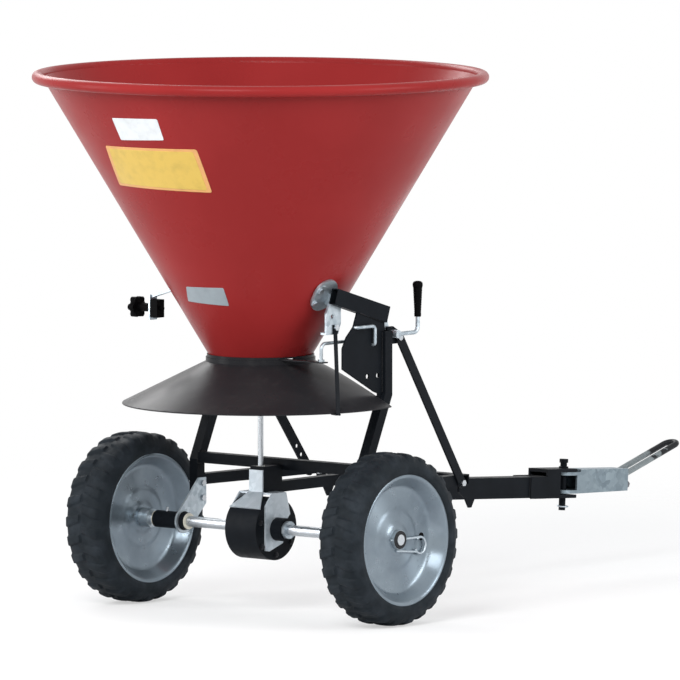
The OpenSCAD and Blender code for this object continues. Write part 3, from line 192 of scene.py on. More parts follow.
def worn_paint():
    """Black paint rubbed through to a duller grey here and there, for the edges of stock."""
    s = Shader("worn_edge", 0.4, specular=0.15)
    rubbed = s.remap(s.noise(70, 6), 0.5, 0.66, 0, 1)
    s.colour(s.blend(rubbed, linear(27, 29, 33), linear(74, 76, 80)))
    s.rough(s.remap(s.noise(60, 3), 0.3, 0.7, 0.34, 0.5))
    s.bump(s.noise(500, 3), 0.0001, 0.5)
    return s.material


def sheet_paint():
    """Smooth dark enamel on thin sheet, which waves slightly between its folds."""
    s = Shader("skirt_paint", 0.3, specular=0.06)
    shade = s.remap(s.noise(6, 3), 0.35, 0.65, 0, 1)
    dust = s.remap(s.noise(40, 6), 0.55, 0.8, 0, 0.4)
    body = s.blend(shade, linear(33, 33, 36), linear(42, 42, 44))
    s.colour(s.blend(dust, body, linear(58, 58, 58)))
    s.rough(s.remap(s.noise(9, 3), 0.3, 0.7, 0.26, 0.36))
    s.bump(s.noise(5, 1), 0.006, 0.3)
    return s.material


def zinc(name, dark, light, roughness, metallic=0.85):
    s = Shader(name, roughness, metallic=metallic)
    spangle = s.blend(s.cells(90), dark, light)
    dull = s.remap(s.noise(7, 5), 0.38, 0.66, 0, 1)
    s.colour(s.blend(dull, spangle, faded(light, 0.82)))
    s.rough(s.remap(s.noise(35, 4), 0.3, 0.7, roughness - 0.07, roughness + 0.12))
    s.bump(s.noise(260, 3), 0.00015, 0.5)
    return s.material


def tow_loop_steel_dark_tip():
    """Steel towards the foot of the tow loop, going over to near-black towards its tip."""
    s = Shader("tow_loop_steel_dark_tip", 0.4, specular=0.2)
    box = s.add("ShaderNodeTexCoord").outputs["Generated"]
    along = s.add("ShaderNodeSeparateXYZ")
    s.link(box, along.inputs["Vector"])
    tip_darkening = s.remap(along.outputs["X"], 0.35, 0.85, 0, 1)
    mixed = s.add("ShaderNodeMath", operation="ADD")
    s.link(tip_darkening, mixed.inputs[0])
    s.link(s.remap(s.noise(45, 6), 0.3, 0.7, -0.45, 0.45), mixed.inputs[1])
    steel_tone = s.blend(s.noise(90, 3), linear(104, 112, 114), linear(142, 150, 152))
    s.colour(s.blend(s.remap(mixed.outputs[0], 0.42, 0.58, 0, 1), steel_tone, linear(26, 28, 31)))
    s.rough(s.remap(s.noise(70, 3), 0.3, 0.7, 0.32, 0.5))
    s.bump(s.noise(420, 3), 0.0001, 0.5)
    return s.material


def steel():
    s = Shader("bright_steel", 0.3, metallic=1.0)
    s.colour(s.blend(s.noise(30, 4), linear(176, 182, 188), linear(206, 210, 214)))
    s.rough(s.remap(s.noise(80, 3, stretch=(1, 1, 6)), 0.3, 0.7, 0.24, 0.38))
    s.bump(s.noise(700, 2, stretch=(1, 8, 1)), 0.00008, 0.4)
    return s.material


def rim_metal():
    """Zinc-plated sheet spun to shape, which shines in wedges out from its middle."""
    s = Shader("rim_metal", 0.36, metallic=0.9, specular=0.4)
    shade = s.remap(s.noise(10, 5), 0.35, 0.68, 0, 1)
    spots = s.remap(s.noise(90, 4), 0.64, 0.74, 0, 0.4)
    metal = s.blend(shade, linear(136, 148, 157), linear(118, 130, 140))
    s.colour(s.blend(spots, metal, linear(96, 102, 108)))
    s.rough(s.remap(s.noise(40, 4), 0.3, 0.7, 0.26, 0.38))
    s.surface.inputs["Anisotropic"].default_value = 0.85
    s.surface.inputs["Anisotropic Rotation"].default_value = 0.25
    round_axle = s.add("ShaderNodeTangent", direction_type="RADIAL", axis="Y")
    s.link(round_axle.outputs["Tangent"], s.surface.inputs["Tangent"])
    s.bump(s.noise(500, 2), 0.00006, 0.4)
    return s.material


def rubber():
    s = Shader("rubber", 0.7, specular=0.14)
    dust = s.remap(s.noise(22, 6), 0.45, 0.72, 0, 1)
    s.colour(s.blend(dust, linear(23, 29, 34), linear(39, 45, 51)))
    s.rough(s.remap(s.noise(50, 4), 0.3, 0.7, 0.58, 0.78))
    s.bump(s.noise(1100, 3), 0.0002, 0.5)
    return s.material


def plastic(name, colour, roughness, specular=0.25):
    s = Shader(name, roughness, specular=specular)
    s.colour(s.blend(s.noise(40, 3), colour, faded(colour, 1.3)))
    s.bump(s.noise(1500, 2), 0.0001, 0.5)
    return s.material


def label(name, colour):
    s = Shader(name, 0.42, specular=0.35)
    stain = s.remap(s.noise(35, 6), 0.45, 0.72, 0, 1)
    s.colour(s.blend(stain, colour, faded(colour, 0.86)))
    s.rough(s.remap(s.noise(20, 4), 0.3, 0.7, 0.34, 0.5))
    s.bump(s.noise(160, 3), 0.0001, 0.4)
    return s.material


def weld_paint():
    s = Shader("weld_paint", 0.42, specular=0.12)
    s.colour(s.blend(s.noise(300, 3), linear(15, 17, 20), linear(30, 31, 34)))
    s.bump(s.noise(700, 3), 0.0002, 0.7)
    return s.material


BLACK = black_paint("black_paint", linear(18, 21, 25), 0.42, 0.05)
BLACK_BOLT = black_paint("blackened_bolt", linear(24, 25, 28), 0.36, 0.2)
WORN_EDGE = worn_paint()
SKIRT_BLACK = sheet_paint()
WELD = weld_paint()
ZINC = zinc("zinc", linear(150, 163, 172), linear(196, 206, 213), 0.38)
# Copies of the zinc painted lighter, as painted light on the gear yoke, and darker, as painted shade on
# the hitch head
ZINC_PAINTED_LIT = zinc("zinc_painted_lit", linear(172, 184, 192), linear(202, 211, 218), 0.42, 0.45)
ZINC_PAINTED_SHADE = zinc("zinc_painted_shade", linear(112, 126, 135), linear(146, 160, 168), 0.44)
STEEL = steel()
RED = red_paint()
RIM = rim_metal()
RUBBER = rubber()
GRIP = plastic("grip_plastic", linear(8, 8, 9), 0.5, 0.03)
BUSH = plastic("bush_plastic", linear(206, 202, 188), 0.5)
GEAR = zinc("gear_steel", linear(96, 98, 102), linear(128, 130, 134), 0.45)
WHITE_LABEL = label("white_label", linear(226, 230, 232))
YELLOW_LABEL = label("yellow_label", linear(214, 180, 84))
BORDER_LABEL = label("label_border", linear(222, 164, 102))
GREY_LABEL = label("grey_label", linear(150, 160, 166))

FINISH = {
    "red_paint": RED, "dark_paint": SKIRT_BLACK, "black_paint": BLACK, "zinc": ZINC,
    "bright_steel": STEEL, "gear_steel": GEAR, "rim_paint": RIM, "tyre": RUBBER,
    "black_plastic": GRIP, "bush_plastic": BUSH,
}
# Nodes whose finish differs from their slot; the yoke's zinc carries painted light, the hitch head's
# painted shade
OWN_FINISH = {"gearbox_yoke": ZINC_PAINTED_LIT, "hitch_head": ZINC_PAINTED_SHADE, "skirt_stay": BLACK,
              "tow_loop": tow_loop_steel_dark_tip()}
# Pieces of flat stock and square tube, whose edges are rounded over a little
SOFT_EDGES = ["crossbar", "side_rail_right", "side_rail_left", "centre_rail", "front_crossmember",
              "upright_right", "upright_left", "brace_right", "brace_left", "side_plates",
              "brace_brackets", "hopper_arm_right", "hopper_arm_left", "rail_gussets", "drawbar",
              "drawbar_plate", "hitch_fork", "hitch_head", "shaft_block", "stay_hanger",
              "cable_clamp", "bearing_plates"]
EDGE_ROUND = 0.0012
SMOOTH_ANGLE = math.radians(32)


def dress_cad_nodes():
    """Gives each CAD node its finish, smooth curves and, on stock, rounded edges."""
    for part in frame["record"]["subparts"]:
        carrier = nodes[part["node"]]
        mesh = carrier.data
        mesh.materials.clear()
        mesh.materials.append(OWN_FINISH.get(part["node"], FINISH[part["material_slot"]]))
        mesh.polygons.foreach_set("use_smooth", [True] * len(mesh.polygons))
        mesh.set_sharp_from_angle(angle=SMOOTH_ANGLE)
        if part["node"] in SOFT_EDGES:
            bevel = carrier.modifiers.new("edges", "BEVEL")
            bevel.width = EDGE_ROUND
            bevel.segments = 2
            bevel.limit_method = "ANGLE"
            bevel.angle_limit = math.radians(50)
            bevel.harden_normals = True
            if part["material_slot"] == "black_paint":
                mesh.materials.append(WORN_EDGE)
                bevel.material = 1


dress_cad_nodes()


# Shapes


def show(name, bm, material, body, smooth_angle=35):
    """Turns a bmesh into a finished piece of the object."""
    mesh = bpy.data.meshes.new(name)
    bmesh.ops.recalc_face_normals(bm, faces=bm.faces)
    bm.to_mesh(mesh)
    bm.free()
    piece = bpy.data.objects.new(name, mesh)
    bpy.context.scene.collection.objects.link(piece)
    mesh.materials.append(material)
    mesh.polygons.foreach_set("use_smooth", [True] * len(mesh.polygons))
    mesh.set_sharp_from_angle(angle=math.radians(smooth_angle))
    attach(piece, body)
    return piece


def bridge(bm, rings, closed=False):
    """Quads between rings of vertices; closed joins the last ring to the first."""
    pairs = list(zip(rings, rings[1:]))
    if closed:
        pairs.append((rings[-1], rings[0]))
    for a, b in pairs:
        for i in range(len(a)):
            j = (i + 1) % len(a)
            bm.faces.new((a[i], a[j], b[j], b[i]))


def lathe(bm, profile, place, axis, steps=48):
    """Solid of revolution from (radius, height) points, the first and last near the axis."""
    axis = Vector(axis).normalized()
    side = axis.orthogonal().normalized()
    other = axis.cross(side)
    rings = []
    for radius, height in profile:
        ring = []
        for i in range(steps):
            turn = math.tau * i / steps
            out = side * math.cos(turn) + other * math.sin(turn)
            ring.append(bm.verts.new(Vector(place) + axis * height + out * radius))
        rings.append(ring)
    bridge(bm, rings)
    bm.faces.new(rings[0])
    bm.faces.new(rings[-1])


def tube_along(bm, points, radius, steps=10, closed=False, ripple=0.0, ripple_len=0.004):
    """Round rod along points, whose radius may ripple like the scales of a weld."""
    points = [Vector(p) for p in points]
    count = len(points)
    rings = []
    run = 0.0
    up = None
    for i, here in enumerate(points):
        before = points[i - 1] if i or closed else here
        after = points[(i + 1) % count] if i < count - 1 or closed else here
        ahead = (after - before).normalized()
        if up is None:
            up = ahead.orthogonal().normalized()
        up = (up - ahead * up.dot(ahead)).normalized()
        side = ahead.cross(up)
        run += (here - points[i - 1]).length if i else 0.0
        thick = radius * (1 + ripple * math.sin(math.tau * run / ripple_len))
        rings.append([bm.verts.new(here + (up * math.cos(t) + side * math.sin(t)) * thick)
                      for t in (math.tau * k / steps for k in range(steps))])
    bridge(bm, rings, closed)
    if not closed:
        bm.faces.new(rings[0])
        bm.faces.new(rings[-1])


def dense(corners, spacing, closed=False):
    """Points at an even spacing along the straight stretches between corners."""
    corners = [Vector(c) for c in corners]
    pairs = list(zip(corners, corners[1:]))
    if closed:
        pairs.append((corners[-1], corners[0]))
    points = []
    for a, b in pairs:
        count = max(1, round((b - a).length / spacing))
        points += [a.lerp(b, i / count) for i in range(count)]
    if not closed:
        points.append(corners[-1])
    return points


def cone_point(angle, height, lift):
    """Point at a lift off the outside of the hopper's wall."""
    radius = HOPPER_FOOT_R + (height - HOPPER_LOW.z) * CONE_SLOPE
    radius += lift * math.cos(CONE_LEAN)
    height -= lift * math.sin(CONE_LEAN)
    return Vector((AXLE_X + radius * math.cos(angle), radius * math.sin(angle), height))


# Frame of the towed spreader, with the places of its joints

TUBE_HALF = 0.0125
UPRIGHT_Y = 0.253
UPRIGHT_IN_Y = UPRIGHT_Y - TUBE_HALF
RAIL_Z = 0.292
CROSSBAR_Z = 0.345
FOOT_X = 0.066
RAIL_END_X = 0.4575
FRONT_Y = 0.217
CROSS_LOW_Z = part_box("front_crossmember")[0][2]
CROSS_HIGH_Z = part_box("front_crossmember")[1][2]
PLATE = 0.005
BAR_SLOPE = math.radians(3.68)
BAR_HALF = 0.025
BAR_LENGTH = 0.596
BAR_AHEAD = Vector((math.cos(BAR_SLOPE), 0, -math.sin(BAR_SLOPE)))
BAR_UP = Vector((math.sin(BAR_SLOPE), 0, math.cos(BAR_SLOPE)))
BAR_START = middle("drawbar") - BAR_AHEAD * BAR_LENGTH / 2
FORK_HIGH = 0.0435
HEAD_END = 0.908
ARM_SLOPE = math.atan(51.7 / 169)
BOTH_SIDES = (-1, 1)
# Each wheel's side of the machine, name and body
WHEELS = ((-1, "right", "drive_axle"), (1, "left", "left_wheel"))


def at(x, y, z):
    """Place from distances in front of the axle, to the left and above the ground."""
    return Vector((AXLE_X + x, y, z))


def on_bar(along, y, up):
    """Place from the drawbar's rear end, in the drawbar's own sloping directions."""
    return BAR_START + BAR_AHEAD * along + BAR_UP * up + Vector((0, y, 0))


def circle(middle_point, first, second, radius, steps=48):
    return [middle_point + (Vector(first) * math.cos(t) + Vector(second) * math.sin(t)) * radius
            for t in (math.tau * i / steps for i in range(steps))]


# Tyres

TYRE_R = (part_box("tyre_right")[1][2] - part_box("tyre_right")[0][2]) / 2
LUG_COUNT = 26
LUG_HEIGHT = 0.005
LUG_LEAN = math.tan(math.radians(16))
STEPS_PER_LUG = 24
# Where the tread starts and stops leaning outwards with the shoulder, off the middle plane
SHOULDER_FROM, SHOULDER_TO = 0.02, 0.05
# Distance from the wheel's middle plane and radius, from the rim's edge up to the crown
TYRE_SECTION = [(0.0545, 0.1532), (0.0568, 0.1556), (0.0578, 0.1590), (0.0580, 0.1630),
                (0.0576, 0.1665), (0.0578, 0.1680), (0.0574, 0.1695), (0.0562, 0.1735),
                (0.0538, 0.1785), (0.0506, 0.1832), (0.0472, 0.1868), (0.0436, 0.1896),
                (0.0400, 0.1915), (0.0362, 0.1928), (0.0320, 0.1937), (0.0270, 0.1944),
                (0.0220, 0.1948), (0.0165, 0.1950), (0.0110, 0.1949), (0.0060, 0.1949),
                (0.0035, 0.1949), (0.0012, 0.1949), (0.0000, 0.1949)]
TYRE_INSIDE = [(-0.0505, 0.1466), (0.0505, 0.1466)]


def smooth(value, low, high):
    """Goes smoothly from 0 at low to 1 at high."""
    t = min(1.0, max(0.0, (value - low) / (high - low)))
    return t * t * (3 - 2 * t)


def lug_rise(angle, y):
    """Height of the tread at an angle round the tyre and a distance from its middle plane."""
    off = abs(y)
    pitch = math.tau / LUG_COUNT
    row = 0.25 if y > 0 else -0.25
    shifted = angle + LUG_LEAN * off / TYRE_R - row * pitch
    beside = abs((shifted + pitch / 2) % pitch - pitch / 2) * TYRE_R
    half = 0.0092 + 0.003 * smooth(off, 0.012, 0.042)
    across = 1 - smooth(beside, half - 0.0014, half + 0.0018)
    ends = smooth(off, 0.0006, 0.0034) * (1 - smooth(off, 0.0415, 0.052))
    scuff = 0.0002 * (math.sin(angle * 61 + off * 300) * math.sin(angle * 23 - off * 170) - 1)
    return across * ends * (LUG_HEIGHT + scuff)


def tyre(name, node, body, side):
    """Tyre with staggered lugs over a round shoulder, mirrored for the left wheel."""
    section = TYRE_SECTION + [(-y, r) for y, r in reversed(TYRE_SECTION[:-1])]
    steps = LUG_COUNT * STEPS_PER_LUG
    bm = bmesh.new()
    rings = []
    for i in range(steps):
        angle = math.tau * i / steps
        ring = []
        for y, radius in section:
            lean = math.atan2(y, SHOULDER_TO) * smooth(abs(y), SHOULDER_FROM, SHOULDER_TO)
            rise = lug_rise(angle, y)
            r = radius + rise * math.cos(lean)
            out = y + rise * math.sin(lean)
            ring.append(bm.verts.new(at(r * math.sin(angle), side * (WHEEL_Y - out),
                                        AXLE_Z + r * math.cos(angle))))
        for y, r in TYRE_INSIDE:
            ring.append(bm.verts.new(at(r * math.sin(angle), side * (WHEEL_Y - y),
                                        AXLE_Z + r * math.cos(angle))))
        rings.append(ring)
    bridge(bm, rings, closed=True)
    piece = show(name, bm, RUBBER, body, 50)
    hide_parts(node)


for side, wheel, body in WHEELS:
    tyre("tread_" + wheel, "tyre_" + wheel, body, side)


# Rims and hubs

# Distance from the axle and from the wheel's middle plane, from the hub out to the tyre's seat
RIM_SECTION = [(0.0224, 0.0268), (0.0290, 0.0268), (0.0330, 0.0264), (0.0360, 0.0252),
               (0.0395, 0.0240), (0.0440, 0.0235), (0.0520, 0.0234), (0.0600, 0.0234),
               (0.0640, 0.0233), (0.0680, 0.0227), (0.0710, 0.0217), (0.0745, 0.0211),
               (0.0790, 0.0210), (0.0950, 0.0210), (0.1080, 0.0210), (0.1140, 0.0211),
               (0.1185, 0.0217), (0.1220, 0.0230), (0.1245, 0.0250), (0.1270, 0.0283),
               (0.1340, 0.0382), (0.1410, 0.0482), (0.1438, 0.0516), (0.1458, 0.0532),
               (0.1480, 0.0539), (0.1502, 0.0540), (0.1518, 0.0536), (0.1526, 0.0526),
               (0.1526, 0.0514), (0.1462, 0.0511), (0.1460, 0.0504)]
RIM_STEPS = 128


def rim(name, node, body, side):
    """Spun rim: a disc with a raised middle, a sloping wall and a rolled edge on either face."""
    section = RIM_SECTION + [(r, -y) for r, y in reversed(RIM_SECTION)]
    bm = bmesh.new()
    rings = []
    for r, y in section:
        middle_point = at(0, side * WHEEL_Y + y, AXLE_Z)
        rings.append([bm.verts.new(p)
                      for p in circle(middle_point, (1, 0, 0), (0, 0, 1), r, RIM_STEPS)])
    bridge(bm, rings, closed=True)
    piece = show(name, bm, RIM, body, 40)
    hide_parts(node)


for side, wheel, body in WHEELS:
    rim("spun_rim_" + wheel, "rim_" + wheel, body, side)

# Dark washers that the axle's ends stand in. The left hub is shorter, because it has no pin
HUB_END = {"right": 0.0352, "left": 0.0232}
WASHER_SECTION = [(0.0129, 0.0), (0.0129, 0.001), (0.0134, 0.0014),
                  (0.0206, 0.0014), (0.0212, 0.001), (0.0212, 0.0)]
for side, wheel, body in WHEELS:
    hub_washer = bmesh.new()
    rings = []
    for r, lift in WASHER_SECTION:
        middle_point = at(0, side * (WHEEL_Y + HUB_END[wheel] + lift), AXLE_Z)
        rings.append([hub_washer.verts.new(p)
                      for p in circle(middle_point, (1, 0, 0), (0, 0, 1), r, 64)])
    bridge(hub_washer, rings, closed=True)
    show("hub_washer_" + wheel, hub_washer, BLACK_BOLT, body, 30)

# Valve grommets, one on each face of both wheels' discs
VALVE_X = 0.092
DISC_OUT = 0.021
VALVE_ROOT = 0.004
for side, wheel, body in WHEELS:
    valve = bmesh.new()
    for face in BOTH_SIDES:
        start = at(VALVE_X, side * WHEEL_Y + face * (DISC_OUT - VALVE_ROOT), AXLE_Z)
        lathe(valve, [(0.0088, 0), (0.0088, 0.002), (0.0092, 0.0026), (0.0092, 0.0042),
                      (0.0062, 0.0052), (0.0046, 0.0066)], start, (0, face, 0), 32)
    show("valve_grommets_" + wheel, valve, GRIP, body)


# Welds

WELD_R = 0.0021
BEAD_STEP = 0.0011
SCALE_LENGTH = 0.0046
SCALE_DEPTH = 0.13
# Beads lie this far off the middle of a tube, just proud of its faces
BEAD_OUT = TUBE_HALF + 0.0004


def weld(name, stretches, material=WELD, body="frame", radius=WELD_R):
    """Scaled weld beads along stretches given by their corners."""
    bm = bmesh.new()
    for corners, closed in stretches:
        tube_along(bm, dense(corners, BEAD_STEP, closed), radius, 8, closed,
                   SCALE_DEPTH, SCALE_LENGTH)
    show(name, bm, material, body, 60)


def frame_welds():
    runs = []
    for side in BOTH_SIDES:
        inner = side * (UPRIGHT_IN_Y - 0.0004)
        low, high = CROSSBAR_Z - BEAD_OUT, CROSSBAR_Z + BEAD_OUT
        front = FOOT_X + BEAD_OUT
        runs.append(([at(0.063, inner, high), at(front, inner, high), at(front, inner, low),
                      at(FOOT_X - BEAD_OUT, inner, low), at(FOOT_X - BEAD_OUT, inner, 0.341)],
                     False))
        for z in (RAIL_Z - BEAD_OUT, RAIL_Z + BEAD_OUT):
            runs.append(([at(front, side * (UPRIGHT_Y - TUBE_HALF), z),
                          at(front, side * (UPRIGHT_Y + TUBE_HALF), z)], False))
        back = RAIL_END_X - 0.0004
        runs.append(([at(back, side * 0.2295, CROSS_HIGH_Z + 0.0003),
                      at(back, side * 0.2042, CROSS_HIGH_Z + 0.0003),
                      at(back, side * 0.2042, 0.2797)], False))
        for y in (FRONT_Y - 0.0029, FRONT_Y + 0.0029):
            runs.append(([at(0.459, side * y, CROSS_LOW_Z - 0.0006),
                          at(0.4815, side * y, CROSS_LOW_Z - 0.0006)], False))
        for y in (UPRIGHT_Y - 0.0028, UPRIGHT_Y + 0.0028):
            low_z = 0.522 if side < 0 else 0.602
            runs.append(([at(0.1342, side * y, low_z), at(0.1342, side * y, 0.662)], False))
            arm_back, arm_front, arm_z = 0.052, 0.141, 0.7113
            arm_drop = (arm_front - arm_back) * math.tan(ARM_SLOPE)
            runs.append(([at(arm_back, side * y, arm_z),
                          at(arm_front, side * y, arm_z - arm_drop)], False))
        bracket_y = UPRIGHT_IN_Y + 0.0101
        runs.append(([at(0.1598, side * bracket_y, 0.632),
                      at(0.1598, side * bracket_y, 0.6635)], False))
    for x, drop in ((RAIL_END_X, 0), (RAIL_END_X + 0.025, 0.0009)):
        runs.append(([at(x, -0.0235, CROSS_LOW_Z - 0.0004 - drop),
                      at(x, 0.0235, CROSS_LOW_Z - 0.0004 - drop)], False))
    plate_x = 0.4135
    runs.append(([at(plate_x, -0.0128, RAIL_Z - 0.0128), at(plate_x, 0.0128, RAIL_Z - 0.0128),
                  at(plate_x, 0.0128, RAIL_Z + 0.0118), at(plate_x, -0.0128, RAIL_Z + 0.0118)], True))
    weld("frame_welds", runs)


def fork_welds():
    cheek = BAR_LENGTH - 0.0602
    runs = [([on_bar(BAR_LENGTH - 0.0004, -0.0245, BAR_HALF + 0.0006),
              on_bar(BAR_LENGTH - 0.0004, 0.0245, BAR_HALF + 0.0006)], False)]
    for side in BOTH_SIDES:
        y = side * (BAR_HALF + 0.0006)
        runs.append(([on_bar(cheek, y, -0.0235), on_bar(cheek, y, 0.0235)], False))
        for z in (-BAR_HALF - 0.0002, BAR_HALF + 0.0002):
            runs.append(([on_bar(cheek + 0.002, side * 0.0272, z),
                          on_bar(BAR_LENGTH - 0.001, side * 0.0272, z)], False))
    weld("fork_welds", runs, radius=0.0018)


def bearing_welds():
    runs = []
    for side in BOTH_SIDES:
        for y in (UPRIGHT_IN_Y - PLATE - 0.0006, UPRIGHT_IN_Y + 0.0006):
            runs.append((circle(at(0, side * y, AXLE_Z), (1, 0, 0), (0, 0, 1), 0.0207), True))
    weld("bearing_welds", runs, radius=0.0016)


def tow_loop_welds():
    loop_up = FORK_HIGH - 0.002 - 0.013
    runs = [(circle(on_bar(HEAD_END + 0.0002, side * 0.017, loop_up), (0, 1, 0), BAR_UP, 0.0077),
             True) for side in BOTH_SIDES]
    weld("tow_loop_welds", runs, ZINC, "hitch", 0.0015)


frame_welds()
fork_welds()
bearing_welds()
tow_loop_welds()


# Small fittings

def hex_nut(bm, place, axis, across, height, hole):
    """Chamfered hexagon nut with the end of its bolt, standing on a face."""
    axis = Vector(axis).normalized()
    side = axis.orthogonal().normalized()
    other = axis.cross(side)
    rings = []
    for scale, lift in ((0.97, 0.0), (1.0, 0.08), (1.0, 0.82), (0.9, 1.0), (hole / across, 1.0),
                        (hole / across, 1.25), (hole / across * 0.7, 1.4)):
        ring = []
        for i in range(24):
            turn = math.tau * i / 24
            flat = math.cos(math.pi / 6) / math.cos((turn % (math.pi / 3)) - math.pi / 6)
            reach = across * (scale * flat if scale > 0.85 else scale)
            ring.append(bm.verts.new(Vector(place) + axis * height * lift
                                     + (side * math.cos(turn) + other * math.sin(turn)) * reach))
        rings.append(ring)
    bridge(bm, rings)
    bm.faces.new(rings[0])
    bm.faces.new(rings[-1])


def washer(bm, place, axis, radius):
    lathe(bm, [(radius * 0.96, 0), (radius, 0.0003), (radius, 0.0011), (radius * 0.95, 0.0014)],
          place, axis, 32)


# Places on the gear cover's faces, in front of the axle and above it
SCREW_PLACES = ((-0.056, 0.018), (0.052, -0.034), (0.0, -0.0605), (-0.05, -0.038))
COVER_FACE_Y = 0.047
gear_screws = bmesh.new()
for side in BOTH_SIDES:
    for x, z in SCREW_PLACES:
        face = at(x, side * COVER_FACE_Y, AXLE_Z + z)
        washer(gear_screws, face, (0, side, 0), 0.0068)
        hex_nut(gear_screws, face + Vector((0, side * 0.0012, 0)), (0, side, 0),
                0.0055, 0.0036, 0.002)
show("gearbox_screws", gear_screws, BLACK_BOLT, "frame", 30)

NIPPLE_Y = 0.288
NIPPLE_UP = 0.0196
nipples = bmesh.new()
for side in BOTH_SIDES:
    lathe(nipples, [(0.0042, 0), (0.0042, 0.003), (0.0028, 0.0036), (0.0026, 0.0062),
                    (0.0034, 0.0072), (0.0034, 0.0086), (0.0018, 0.0098)],
          at(0, side * NIPPLE_Y, AXLE_Z + NIPPLE_UP), (0, 0, 1), 20)
show("grease_nipples", nipples, STEEL, "frame", 30)

hitch_nut = bmesh.new()
HITCH_NUT_Y = -0.013
washer(hitch_nut, on_bar(HEAD_END, HITCH_NUT_Y, 0.003), BAR_AHEAD, 0.0118)
hex_nut(hitch_nut, on_bar(HEAD_END + 0.0013, HITCH_NUT_Y, 0.003), BAR_AHEAD, 0.0098, 0.012, 0.0056)
show("hitch_nut", hitch_nut, GEAR, "hitch", 30)


# Grip and knob

def grip():
    """Moulded grip with fine ribs, thickest near its domed top."""
    low, high = (Vector(corner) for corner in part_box("lever_grip"))
    foot = Vector(((low.x + high.x) / 2, (low.y + high.y) / 2, low.z))
    length = high.z - low.z
    top_r = (high.x - low.x) / 2
    foot_r = 0.008
    profile = [(0.0056, 0.0), (foot_r - 0.0006, 0.0), (foot_r, 0.0008)]
    ribs = 15
    rib_from, rib_to = 0.1, 0.82
    for i in range(ribs * 6 + 1):
        t = rib_from + (rib_to - rib_from) * i / (ribs * 6)
        radius = foot_r + (top_r - foot_r) * t - 0.0002
        dip = 0.0008 * (0.5 - 0.5 * math.cos(math.tau * i / 6))
        profile.append((radius - dip, length * t))
    profile += [(top_r - 0.0002, length * 0.86), (top_r, length * 0.9), (top_r - 0.0004, length * 0.935),
                (top_r - 0.002, length * 0.97), (top_r - 0.0045, length * 0.99),
                (top_r - 0.0075, length)]
    bm = bmesh.new()
    lathe(bm, profile, foot, (0, 0, 1), 40)
    piece = show("grip", bm, GRIP, "lever", 60)
    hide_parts("lever_grip")


grip()

KNOB_Z = 0.699
knob_low, knob_high = (Vector(corner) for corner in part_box("clamp_knob"))
KNOB_PLACE = Vector(((knob_low.x + knob_high.x) / 2, knob_high.y - 0.016, KNOB_Z))


def star_knob():
    """Six rounded lobes round a domed middle with a pressed-in cap."""
    bm = bmesh.new()
    steps = 96
    lobe = 0.0034
    rings = []
    for radius, lift in ((0.0150, -0.0002), (0.0205, 0.0006), (0.0224, 0.0030), (0.0226, 0.0080),
                         (0.0222, 0.0125), (0.0196, 0.0152), (0.0150, 0.0160), (0.0120, 0.0157),
                         (0.0114, 0.0150), (0.0108, 0.0150), (0.0102, 0.0159), (0.0050, 0.0162)):
        ring = []
        for i in range(steps):
            turn = math.tau * i / steps
            wave = lobe * (0.5 + 0.5 * math.cos(6 * turn)) ** 0.8 * smooth(radius, 0.013, 0.021)
            r = radius + wave
            ring.append(bm.verts.new(KNOB_PLACE + Vector((r * math.cos(turn), lift,
                                                          r * math.sin(turn)))))
        rings.append(ring)
    bridge(bm, rings)
    bm.faces.new(rings[0])
    bm.faces.new(rings[-1])
    show("star_knob", bm, GRIP, "knob", 45)


star_knob()


# Hopper

SEAM_ANGLE = math.radians(118)


def hopper_seam():
    """Lap joint of the cone's sheet on the side away from the labels, with its spot welds."""
    bm = bmesh.new()
    low, high = HOPPER_LOW.z + 0.004, CONE_TOP_Z - 0.012
    count = 60
    half = 0.009
    rows = []
    for i in range(count + 1):
        z = low + (high - low) * i / count
        radius = HOPPER_FOOT_R + (z - HOPPER_LOW.z) * CONE_SLOPE
        row = []
        for off, lift in ((-half, -0.0003), (-half, 0.0009), (0, 0.0011), (half, 0.0009),
                          (half, -0.0003)):
            row.append(bm.verts.new(cone_point(SEAM_ANGLE + off / radius, z, lift)))
        rows.append(row)
    bridge(bm, rows)
    bm.faces.new(rows[0])
    bm.faces.new(rows[-1])
    for i in range(16):
        z = low + (high - low) * (i + 0.5) / 16
        spot = cone_point(SEAM_ANGLE, z, 0.0009)
        out = (cone_point(SEAM_ANGLE, z, 1) - cone_point(SEAM_ANGLE, z, 0)).normalized()
        lathe(bm, [(0.0036, 0), (0.0032, 0.0005), (0.0018, 0.0007)], spot, out, 16)
    show("hopper_seam", bm, RED, "frame", 40)


hopper_seam()


